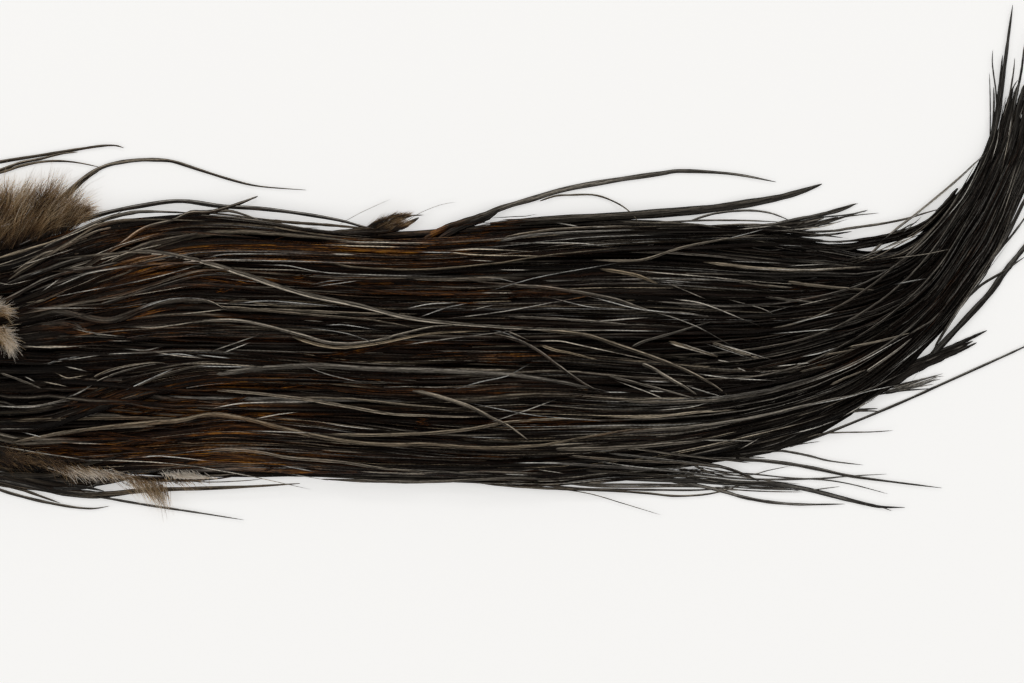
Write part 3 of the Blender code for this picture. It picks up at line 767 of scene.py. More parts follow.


# Single feathers on top: widest vane in pixels, paleness, painted lit side from -1 below to 1 above,
# warmth, route
SINGLE = (
    (5.5, 0.75, -0.5, 0.45, ((40, 277), (80, 264), (120, 253.5), (150, 252), (185, 257.5), (220, 266.5),
        (255, 278), (290, 290), (325, 298.5), (360, 305.5), (395, 315), (430, 321), (480, 325.5),
        (540, 329), (600, 330), (652, 331))),
    (2.4, 0.55, 0.6, 0.5, ((300, 262), (330, 263), (350, 267), (380, 269), (415, 270), (450, 268),
        (500, 263), (530, 258), (560, 254), (590, 251), (630, 247))),
    (4, 0.75, 0.5, 0.55, ((170, 329), (184, 325), (210, 321), (240, 321), (270, 327), (300, 335),
        (325, 342), (345, 344), (360, 343), (375, 341), (390, 337), (405, 333), (440, 326), (500, 325))),
    (3.2, 0.7, -0.4, 0.55, ((290, 336), (305, 341), (325, 346), (345, 347.5), (380, 343), (420, 335),
        (450, 332), (490, 331))),
    (5, 0.7, 0.4, 0.5, ((0, 439), (41, 437), (91, 429), (149, 423), (179, 421), (200, 416), (220, 415),
        (250, 420), (280, 428), (320, 437), (360, 443), (400, 445), (430, 444), (480, 448), (540, 445.5),
        (580, 438), (630, 430), (660, 429))),
    (3.6, 1, -0.3, 0.6, ((200, 389), (240, 392), (270, 395), (310, 400), (350, 407), (390, 414),
        (420, 415.5), (460, 417), (485, 416))),
    (2.6, 0.8, 0.5, 0.6, ((290, 397), (350, 399), (380, 402), (420, 406), (460, 409))),
    (4, 0.75, 0.4, 0.5, ((320, 434), (350, 435), (380, 435), (430, 433), (470, 429), (510, 422),
        (560, 419), (600, 420))),
    (6, 0.5, 0.4, 0.4, ((200, 379), (215, 375), (240, 371), (275, 367.5), (320, 366), (370, 369),
        (440, 371), (500, 374), (520, 376), (560, 382), (580, 386), (610, 392))),
    (3.8, 0.28, 0.7, 0.3, ((490, 333), (520, 341), (540, 352), (560, 367), (580, 381), (600, 392))),
    (4.6, 0.5, 0.6, 0.4, ((410, 391), (425, 393), (450, 400), (470, 407), (490, 417), (510, 427),
        (528, 440))),
    (4.6, 0.45, 0.6, 0.6, ((510, 327), (550, 331), (580, 334), (600, 339), (620, 346), (655, 358),
        (685, 370), (715, 386), (737, 404))),
    (3.2, 0.95, 0.2, 0.6, ((540, 345), (555, 350), (570, 353), (598, 360))),
    (4, 0.5, 0.6, 0.4, ((640, 364), (650, 367), (672, 380), (685, 387), (697, 395))),
    (3, 0.4, 0.4, 0.4, ((605, 375), (640, 384), (660, 389), (697, 399))),
    (3.8, 0.6, 0.3, 0.45, ((600, 399), (640, 402), (680, 402), (720, 400), (760, 394), (800, 384),
        (830, 374), (870, 355), (910, 328), (940, 298))),
    (3.2, 0.95, 0.2, 0.5, ((622, 416), (650, 417), (700, 412), (738, 410))),
    (3.6, 0.55, 0.4, 0.4, ((600, 437), (640, 431), (680, 428), (720, 423), (760, 416), (800, 407),
        (830, 400), (860, 393), (905, 372))),
    (4.8, 0.5, 0.2, 0.1, ((550, 449), (580, 449), (630, 447), (680, 443), (702, 441))),
    (3.6, 1, 0.3, 0.6, ((703, 262), (730, 265), (755, 268), (800, 270), (830, 269), (862, 267))),
    (4, 0.5, 0.3, 1, ((600, 269), (635, 275), (658, 284))),
    (8, 0.1, 0.3, 0.2, ((20, 315), (60, 312), (100, 320), (120, 318), (140, 310), (160, 303), (180, 300),
        (205, 301), (226, 309))),
    (6.5, 0.1, 0.2, 0.2, ((20, 328), (60, 323), (75, 326), (85, 331), (100, 335), (120, 336))),
    (2, 0.95, 0.3, 0.2, ((46, 365), (60, 360), (90, 355.5), (138, 353))),
    (3.2, 0.4, 0.6, 0.2, ((-20, 406), (20, 407), (40, 406), (70, 398), (93, 384), (115, 374), (140, 367),
        (165, 363))),
    (2.8, 0.8, 0.4, 0.7, ((25, 303), (40, 301), (60, 294), (80, 287), (120, 275), (150, 262), (187, 258))),
    (4.2, 0.7, 0.5, 0.8, ((-10, 261), (20, 252), (50, 243), (80, 231), (110, 222), (140, 219))),
    (3.8, 0.5, 0.5, 0.5, ((10, 275), (40, 256), (60, 249), (95, 232), (120, 226))),
    (4.4, 0.5, 0.6, 0.5, ((30, 256), (60, 240), (100, 221), (130, 213), (150, 211.5), (192, 213))),
    (4.4, 0.25, 0.8, 0.2, ((95, 262), (122, 243.6), (145, 228), (172, 220.6), (190, 213), (210, 212),
        (235, 205), (257, 197))),
    (7, 0.12, 0.3, 0.25, ((90, 276), (120, 258), (150, 248), (200, 235), (240, 232), (300, 236),
        (360, 242))),
    (6, 0.16, 0.4, 0.3, ((125, 254), (140, 247), (160, 241), (205, 232))),
    (3.2, 0.35, 0.3, 0.9, ((262, 220), (300, 223), (340, 226), (370, 229))),
    (3.2, 0.6, 0.3, 0.15, ((500, 238), (535, 232), (560, 229), (600, 227), (632, 226))),
    (3, 0.5, 0.3, 0.2, ((495, 242), (535, 235), (580, 232), (635, 230))),
    (4, 0.35, 0.4, 0.3, ((470, 281), (520, 286), (550, 288), (610, 298), (650, 311), (690, 314),
        (745, 323))),
    (2.8, 0.5, 0.4, 0.4, ((500, 316), (560, 319), (600, 322), (632, 325))),
    (3, 0.5, 0.3, 0.4, ((590, 260), (640, 260), (680, 248), (720, 240), (765, 234))),
    (3.8, 0.85, 0.3, 0.6, ((198, 449), (250, 451), (290, 458), (340, 462), (380, 468), (424, 472))),
    (6, 0.1, 0.3, 0.5, ((-10, 473), (40, 475), (60, 473), (80, 466), (122, 455))),
    (3.4, 0.6, 0.3, 0.5, ((10, 443), (40, 437), (80, 430), (130, 427), (155, 426))),
    (4, 0.35, 0.3, 0.4, ((10, 421), (60, 419), (140, 418), (180, 418.5))),
    (2.8, 0.5, 0.4, 0.4, ((90, 380), (110, 370), (145, 363.5), (165, 363))),
    (3.4, 0.4, 0.4, 0.4, ((130, 390), (150, 380), (180, 370), (205, 365))),
    (2.6, 0.5, 0.3, 0.4, ((0, 373), (20, 380), (42, 389))),
    (3.2, 0.45, 0.4, 0.4, ((630, 348), (645, 341), (670, 334), (690, 328), (714, 321))),
    (3, 0.4, 0.3, 0.4, ((200, 297), (222, 307), (240, 308), (290, 313), (370, 320), (420, 329))),
    (2.6, 0.6, 0.3, 0.5, ((225, 303), (245, 301), (280, 306), (330, 306))),
    (3.4, 0.4, 0.3, 0.2, ((320, 479), (370, 481), (420, 482), (470, 480), (520, 478), (560, 481))),
    (3, 0.2, 0.5, 0.3, ((640, 300), (690, 304), (740, 306), (800, 300), (860, 285), (910, 255),
        (950, 215))),
    (2.6, 0.22, 0.5, 0.4, ((660, 355), (730, 352), (800, 340), (850, 320), (900, 285), (940, 240),
        (975, 180))),
    (2.6, 0.2, 0.5, 0.6, ((700, 380), (770, 374), (830, 352), (890, 315), (940, 265), (978, 200))),
    (2.6, 0.25, 0.5, 0.5, ((740, 335), (800, 322), (850, 300), (900, 262), (945, 215), (975, 165))),
    (3, 0.6, 0.4, 0.7, ((866, 372), (872, 368), (885, 359), (900, 348), (912, 338))),
    (2.6, 0.55, 0.4, 0.9, ((822, 356), (831, 354), (842, 352), (856, 349))),
    (2.6, 0.5, 0.4, 1, ((830, 385), (839, 381), (850, 376), (868, 369))),
    (3.6, 0.95, 0.3, 0.9, ((710, 342), (728, 348), (745, 354), (760, 358.5))),
    (2.2, 0.5, 0.4, 0.8, ((620, 222), (650, 223), (690, 224), (726, 229))),
    (4.6, 0.2, 0.6, 0.3, ((8, 280), (21, 272), (48, 256), (69, 243), (94, 229), (117, 222), (160, 220),
        (205, 221))),
    (5, 0.16, -0.6, 0.2, ((70, 276), (94, 261), (117, 247), (142, 238.5), (168, 234), (200, 233),
        (260, 238))),
    (5, 0.12, 0.6, 0.2, ((0, 287), (27, 276), (48, 269), (69, 262), (100, 254), (125, 243), (150, 236))),
    (4.6, 0.2, 0.5, 0.3, ((-10, 306), (12, 297), (42, 281), (69, 272), (100, 267), (126, 261), (157, 256),
        (190, 257))),
    (4.6, 0.15, -0.6, 0.25, ((10, 316), (42, 309), (84, 302), (115, 296), (147, 286), (178, 276),
        (205, 270), (250, 270))),
    (4.2, 0.18, 0.6, 0.2, ((60, 314), (100, 305), (134, 294.5), (168, 284), (200, 276), (240, 274))),
    (3.8, 0.2, -0.5, 0.25, ((30, 292), (60, 281), (92, 272), (130, 266), (165, 263), (210, 264))),
    (3.8, 0.8, 0.4, 0.8, ((784, 281), (810, 285), (840, 288), (874, 290))),
    (3, 0.6, 0.4, 0.6, ((736, 281), (760, 285), (794, 288))),
    (2.8, 0.6, 0.4, 0.7, ((762, 296), (790, 300), (822, 303))),
    (3.4, 0.95, 0.3, 0.9, ((668, 341), (688, 347), (704, 352), (718, 357))),
    (3, 0.6, 0.4, 0.7, ((846, 348), (866, 344), (888, 339), (910, 333))),
    (2.6, 0.7, 0.4, 0.9, ((800, 372), (816, 368), (836, 363))),
    (3, 0.35, 0.4, 0.3, ((560, 455), (620, 460), (680, 463), (722, 468))),
    (2.6, 0.45, 0.3, 0.2, ((600, 452), (650, 458), (700, 464), (737, 470))),
    (3.4, 0.3, 0.4, 0.3, ((540, 462), (600, 466), (660, 470), (712, 475))),
    (3, 0.25, 0.4, 0.3, ((580, 470), (640, 474), (704, 478))),
    (2.4, 0.4, -0.4, 0.2, ((618, 446), (665, 453), (708, 458), (750, 463))),
    (2.2, 0.45, 0.4, 0.8, ((910, 334), (918, 329), (930, 322), (941, 311))),
)

# Painted thin lines of light on quills and folded vanes: routes in pixels
THIN_LINES = (
    ((140, 307), (160, 301), (185, 298), (205, 299)), ((80, 330), (100, 335), (120, 336)),
    ((60, 296), (80, 292), (102, 288)), ((50, 243), (80, 231), (112, 216)),
    ((0, 283), (10, 284.5), (26, 281)), ((30, 275), (42, 271)), ((44, 290), (58, 280)),
    ((35, 308), (95, 308)), ((110, 341), (129, 341)), ((30, 347), (60, 346.5), (80, 347)),
    ((135, 327), (160, 327), (200, 321)), ((100, 300), (140, 294), (200, 284)),
    ((130, 283), (160, 276), (192, 267)), ((128, 349), (145, 350), (158, 347.5)), ((68, 367), (85, 371)),
    ((58, 374), (68, 378), (82, 376)), ((160, 355), (180, 354), (197, 357)), ((45, 382), (64, 386)),
    ((0, 429), (30, 429)), ((25, 433), (41, 437)), ((70, 443), (101, 444)),
    ((145, 457), (160, 456), (200, 460)), ((672, 344), (685, 348), (706, 354)),
    ((682, 344), (700, 350), (714, 354)), ((710, 345), (725, 350), (746, 357)),
    ((722, 345), (740, 350), (763, 357)), ((718, 360), (729, 362)), ((738, 368), (745, 371)),
    ((779, 366), (796, 364)), ((797, 364), (808, 363)), ((805, 356), (820, 353), (832, 349)),
    ((625, 384), (650, 393), (666, 400)), ((607, 392), (626, 392.5)), ((650, 391), (663, 391.5)),
    ((645, 381), (666, 382)), ((690, 387), (722, 397)), ((700, 374), (730, 378), (765, 380)),
    ((660, 410), (690, 407), (706, 403)), ((600, 462), (650, 468), (692, 468)), ((700, 440), (752, 441)),
    ((742, 448), (758, 439)), ((764, 447), (780, 442), (794, 436)), ((796, 433), (815, 428), (832, 422)),
    ((463, 387), (480, 382), (507, 376), (522, 368)), ((500, 419), (515, 414), (530, 409), (546, 403)),
    ((660, 314), (675, 318), (700, 328), (723, 341)), ((680, 300), (704, 304), (742, 319)),
    ((730, 300), (760, 308), (773, 314)), ((769, 312), (791, 306)), ((662, 282), (681, 283)),
    ((659, 280), (701, 283)), ((495, 331), (505, 333), (521, 341)), ((505, 330), (515, 334), (528, 340)),
    ((315, 284), (330, 281), (346, 280)), ((320, 286), (356, 281)), ((240, 303), (270, 301), (330, 306)),
    ((330, 325), (345, 325), (371, 329)), ((310, 328), (345, 333), (369, 341)),
    ((215, 350), (235, 343), (256, 336)), ((225, 352), (246, 344)), ((200, 355), (228, 358)),
    ((200, 366), (251, 367)), ((310, 368), (330, 375), (356, 381)), ((220, 407), (245, 403), (302, 402)),
    ((260, 418), (275, 415), (291, 413)), ((330, 424), (350, 427), (371, 429)), ((255, 431), (312, 433)),
    ((285, 466), (312, 471)), ((290, 474), (320, 479)), ((200, 467), (245, 475), (286, 484)),
    ((270, 265), (290, 266), (330, 273), (420, 276)), ((240, 269), (290, 270), (312, 272)),
    ((345, 242), (421, 243)), ((330, 245), (360, 246), (402, 247)), ((334, 254), (353, 254.5)),
    ((210, 257), (230, 254), (296, 254)), ((558, 223), (576, 226)), ((592, 227), (606, 227)),
    ((520, 243), (575, 243), (602, 246)), ((455, 250), (480, 249), (521, 251)), ((420, 252), (456, 252.5)),
    ((450, 252.5), (480, 255), (536, 256)), ((470, 260), (491, 261)), ((500, 270), (526, 270)),
    ((490, 279), (500, 279), (513, 282)), ((500, 288), (540, 277), (601, 266)), ((484, 293), (511, 293)),
    ((410, 308), (430, 304), (451, 303)), ((425, 315), (445, 308), (463, 304)), ((470, 310), (493, 305)),
    ((460, 317), (500, 312), (561, 301)), ((560, 300), (590, 307), (621, 309)),
    ((410, 344), (430, 341), (509, 331)), ((540, 341), (560, 341), (580, 345), (631, 356)),
    ((480, 405), (500, 409), (540, 416), (591, 420)), ((470, 437), (506, 438)), ((520, 463), (561, 463)),
    ((600, 461), (631, 467)), ((505, 474), (526, 475)), ((540, 470), (561, 473)), ((730, 238), (761, 230)),
    ((742, 229), (771, 226)), ((730, 261), (779, 263)), ((755, 269), (800, 270), (831, 269)),
    ((790, 266), (826, 264)), ((780, 245), (801, 246)), ((640, 271), (700, 276), (731, 279)),
    ((600, 299), (640, 309), (690, 314)), ((670, 284), (701, 297)), ((600, 321), (641, 318)),
    ((600, 330), (656, 331)), ((795, 323), (831, 314)), ((800, 305), (831, 298)), ((780, 333), (831, 329)),
    ((892, 233), (921, 211), (955, 183), (979, 160)), ((905, 231), (918, 220)),
    ((860, 257), (885, 248), (916, 236)), ((838, 222), (820, 227), (786, 230)),
    ((945, 332), (962, 305), (992, 265)), ((0, 446), (40, 453), (81, 459)),
    ((40, 250), (20, 258), (-10, 268)), ((90, 460), (150, 462), (190, 466)),
    ((815, 380), (840, 371), (860, 362), (880, 351), (898, 341)),
    ((815, 404), (845, 398), (870, 391), (888, 387)), ((897, 365), (913, 353), (929, 340)),
    ((854, 410), (866, 402), (878, 395)), ((846, 415), (858, 408), (869, 402)),
    ((895, 258), (925, 254), (945, 250)), ((897, 284), (912, 281), (924, 279)),
    ((978, 168), (970, 185), (961, 200), (946, 218)), ((1011, 121), (1008, 140), (1004, 160)),
    ((999, 128), (997, 142), (993, 156)), ((140, 309), (150, 305), (170, 299), (190, 298)),
    ((196, 299), (210, 301), (223, 308)), ((0, 406), (30, 407), (60, 402)),
    ((68, 397), (80, 392), (92, 385)), ((28, 346), (50, 347.5), (78, 346)),
    ((86, 331), (100, 334), (118, 336)), ((54, 362), (80, 358), (110, 354), (140, 353)),
    ((95, 377), (120, 368), (150, 363), (168, 364)), ((130, 388), (150, 379), (168, 371)),
    ((26, 377), (34, 381)), ((180, 314), (200, 312), (226, 309)), ((160, 353), (180, 356), (200, 358)),
    ((184, 364), (220, 364), (262, 367)), ((20, 266), (45, 258), (70, 250)),
    ((60, 285), (90, 273), (120, 268)), ((95, 255), (120, 245), (150, 236)),
    ((105, 262), (130, 252), (160, 245)),
)

# Split barbs where light comes through orange: routes in pixels
ORANGE_LINES = (
    ((135, 272), (160, 266), (202, 262)), ((130, 290), (161, 281)), ((100, 400), (130, 390), (157, 383)),
    ((96, 404), (130, 394), (160, 389)), ((130, 408), (170, 402), (200, 399)),
    ((140, 414), (180, 408), (202, 405)), ((60, 452), (100, 450), (130, 450)), ((120, 446), (200, 442)),
    ((65, 454), (129, 453)), ((200, 277), (216, 272)), ((220, 287), (240, 281), (261, 278)),
    ((290, 279), (321, 275)), ((300, 359), (325, 359), (360, 354), (396, 345)),
    ((240, 387), (290, 383), (331, 380)), ((220, 403), (246, 396)), ((220, 411), (261, 409)),
    ((200, 431), (226, 428)), ((265, 467), (291, 461)), ((270, 251), (291, 243)),
    ((355, 257), (390, 252), (421, 248)), ((410, 249), (451, 240)), ((465, 256), (501, 253)),
    ((460, 236), (496, 232)), ((500, 300), (530, 295), (566, 292)), ((440, 299), (470, 297), (501, 295)),
    ((485, 357.5), (526, 357.5)), ((570, 396), (591, 393)), ((415, 422), (431, 422)),
    ((510, 426), (550, 423), (591, 421)), ((790, 290), (831, 285)), ((785, 299), (801, 297)),
    ((800, 367), (831, 365)), ((220, 244), (280, 246), (341, 248)), ((480, 226), (531, 222)),
    ((150, 445), (201, 440)), ((170, 272), (230, 280), (290, 296)),
)

# Brown and tan strands along the edge of the sweep: routes in pixels
BROWN_EDGES = (
    ((935, 347), (950, 325), (964, 302), (985, 272), (1000, 247), (1011, 222), (1022, 190)),
    ((940, 338), (952, 318), (966, 297), (984, 270), (998, 247), (1008, 222), (1018, 192)),
    ((950, 324), (964, 300), (980, 276), (996, 251), (1006, 230), (1015, 205)),
    ((944, 334), (958, 312), (975, 286), (992, 261)), ((1023, 156), (1012, 187), (1002, 216), (988, 246)),
    ((1018, 160), (1010, 185), (1000, 212)), ((1012, 120), (1006, 150), (1001, 172)),
    ((852, 262), (870, 256), (885, 248), (902, 240), (918, 230), (932, 219)),
    ((860, 262), (876, 257), (894, 247), (912, 237), (926, 226), (940, 212)),
    ((846, 260), (862, 256), (880, 250), (896, 242), (910, 236)),
    ((876, 259), (896, 255), (912, 247), (926, 235), (940, 221), (952, 206)),
)

# A bundle of split barbs: how many strands, and how far they part in pixels
FIELD_STRANDS = 11
FIELD_SPREAD = 3.6

# The share of its length that a thin line goes on past both ends of its route
LINE_PAST = 0.3


def barb_fields(rng, routes, rings):
    """Split orange barbs: bundles of fine strands that run beside each other along single routes."""
    rows = len(routes) * FIELD_STRANDS
    share = shares(rows, rings)
    start = rng.uniform(-0.25, 0.45, (rows, 1))
    length = rng.uniform(0.45, 0.9, (rows, 1))
    pixels = on_routes([route for route in routes for _ in range(FIELD_STRANDS)], start + length * share)
    wander = waves(rng, share, 0.4, 1)
    pixels[..., 1] += rng.normal(0, FIELD_SPREAD, (rows, 1)) + wander
    path = lay_down(pixels, rng.uniform(0.5, 1.2, (rows, 1)) * MM, (-0.9, -0.6))
    width = strand_widths(rng, share, FIELD_WIDTHS)
    tone = rng.uniform(0.2, 0.85, (rows, 1)) * (0.3 + 0.7 * come_and_go(rings))
    return dress(rng, path, width, rng.normal(0, 0.2, (rows, rings)), 0.0, tone=tone)


def line_strands(rng, routes, rings, pale, warmth, shine):
    """Thin strands along single routes on the pile, lighter by their painted shine than other feathers."""
    share = shares(len(routes), rings)
    pixels = on_routes(routes, (1 + 2 * LINE_PAST) * share - LINE_PAST)
    path = lay_down(pixels, rng.uniform(1.7, 2.3, (len(routes), 1)) * MM, (-0.7, -0.5))
    width = strand_widths(rng, share, LINE_WIDTHS)
    warm = rng.uniform(*warmth, (len(routes), 1))
    pale = rng.uniform(*pale, (len(routes), 1)) * come_and_go(rings) ** 2.2
    return dress(rng, path, width, rng.normal(0, 0.2, share.shape), pale, warm, painted_light=shine)


def table_columns(table):
    """The columns of a table of feathers, each number as an upright array, and the routes at the end."""
    *numbers, routes = zip(*table)
    return *(np.array(column)[:, None] for column in numbers), routes


def single_feathers(rng, table, rings):
    """Feathers along single routes on the pile, each with its own width, paleness, painted lit side and
    warmth.
    """
    pixels_wide, pale, lean, warm, routes = table_columns(table)
    share = shares(len(table), rings)
    path = lay_down(on_routes(routes, share), rng.uniform(1.5, 2.0, (len(table), 1)) * MM, (-1.5, -0.6))
    width = blade_widths(rng, share, (1, 1), tip=0.1, root=0.1, swell=0.14) * pixels_wide * MM_PER_PIXEL
    roll = rolls(rng, share, 0.08, 0.10)
    pale = pale * np.interp(share, (0, 0.12, 0.85, 1), (0.2, 1, 1, 0.25))
    return dress(rng, path, width, roll, pale, warm ** 0.6, lean=lean, soft=0.15)


# Loose feathers beside the spread: widest vane in pixels, paleness, height in millimetres and route
LOOSE = {
    "stray_left_outer": (3.4, 0.3, 0.5, ((-150, 246), (-135, 215), (-95, 187), (-40, 171), (0, 162),
        (40, 155.5), (80, 149), (100, 146), (115, 145.5), (124, 148))),
    "stray_left_inner": (3, 0.32, 0.5, ((-142, 247), (-126, 218), (-88, 194), (-45, 183), (0, 172.5),
        (20, 166), (40, 162), (60, 161), (80, 163), (101, 167.5))),
    "stray_left_arch": (4, 0.32, 1.2, ((48, 213), (56, 203), (65, 194), (85, 177), (103, 167),
        (120, 162.5), (140, 160), (160, 160), (175, 162), (200, 170), (232, 180), (260, 186.4),
        (306, 190))),
    "stray_top_strand": (4.6, 0.4, 0.6, ((20, 245), (60, 229), (100, 214.5), (140, 206), (180, 201),
        (220, 206), (260, 208.5), (300, 213.5), (340, 220.5), (368, 228), (390, 231))),
    "stray_top_wave": (5.6, 0.3, 0.6, ((440, 230), (470, 221), (500, 208.5), (530, 199.5), (566, 189),
        (616, 180), (660, 173.6), (683, 171), (733, 174), (776, 182))),
    "stray_top_blade": (9, 0.25, 0.6, ((490, 224), (566, 219.5), (630, 215.5), (700, 210), (740, 205),
        (778, 198), (803, 191), (822, 184))),
    "stray_top_tip": (4.6, 0.4, 0.6, ((700, 231), (765, 226), (790, 221), (818, 215.5), (840, 209),
        (856, 203.5))),
    "stray_right_strand": (6.4, 0.15, 0.6, ((922, 368), (937, 350), (964, 321), (989, 294), (1002, 276),
        (1012, 263), (1024, 248), (1048, 219), (1074, 184))),
    "stray_right_blade": (12.4, 0.08, 0.6, ((846, 406), (885, 385), (915, 367.5), (940, 356), (958, 348),
        (968, 343.5))),
    "stray_right_straight": (2.8, 0.4, 0.4, ((790, 447), (840, 428), (900, 403), (940, 385), (1000, 358),
        (1024, 347), (1052, 334))),
    "stray_low_long": (3.8, 0.4, 0.4, ((700, 458), (731, 459), (760, 460.5), (790, 464), (820, 469.5),
        (850, 476), (890, 481.5), (942, 488))),
    "stray_low_forked": (5.2, 0.2, 0.4, ((600, 478), (660, 480), (700, 481), (730, 483), (760, 483.5),
        (785, 485.5), (812, 490.5), (845, 499), (870, 505), (882, 507), (905, 507.5))),
    "stray_low_curl": (3.6, 0.35, 0.4, ((650, 478), (690, 484), (722, 491), (742, 497), (765, 501.5),
        (790, 504), (815, 504.5), (845, 504))),
    "stray_left_low": (3.2, 0.45, 0.5, ((-150, 430), (-75, 459), (-40, 474), (0, 490), (20, 496),
        (40, 501), (60, 505), (80, 508), (95, 508.5), (109.5, 506))),
    "stray_left_lowest": (2.6, 0.55, 0.4, ((85, 495), (100, 497), (140, 504), (170, 508.5), (200, 513),
        (244, 520))),
    "stray_low_edge": (5.6, 0.35, 0.6, ((-130, 434), (-70, 460), (-10, 478), (20, 485), (60, 491),
        (100, 494), (150, 490), (200, 488.5), (250, 486.5), (300, 483.5))),
}

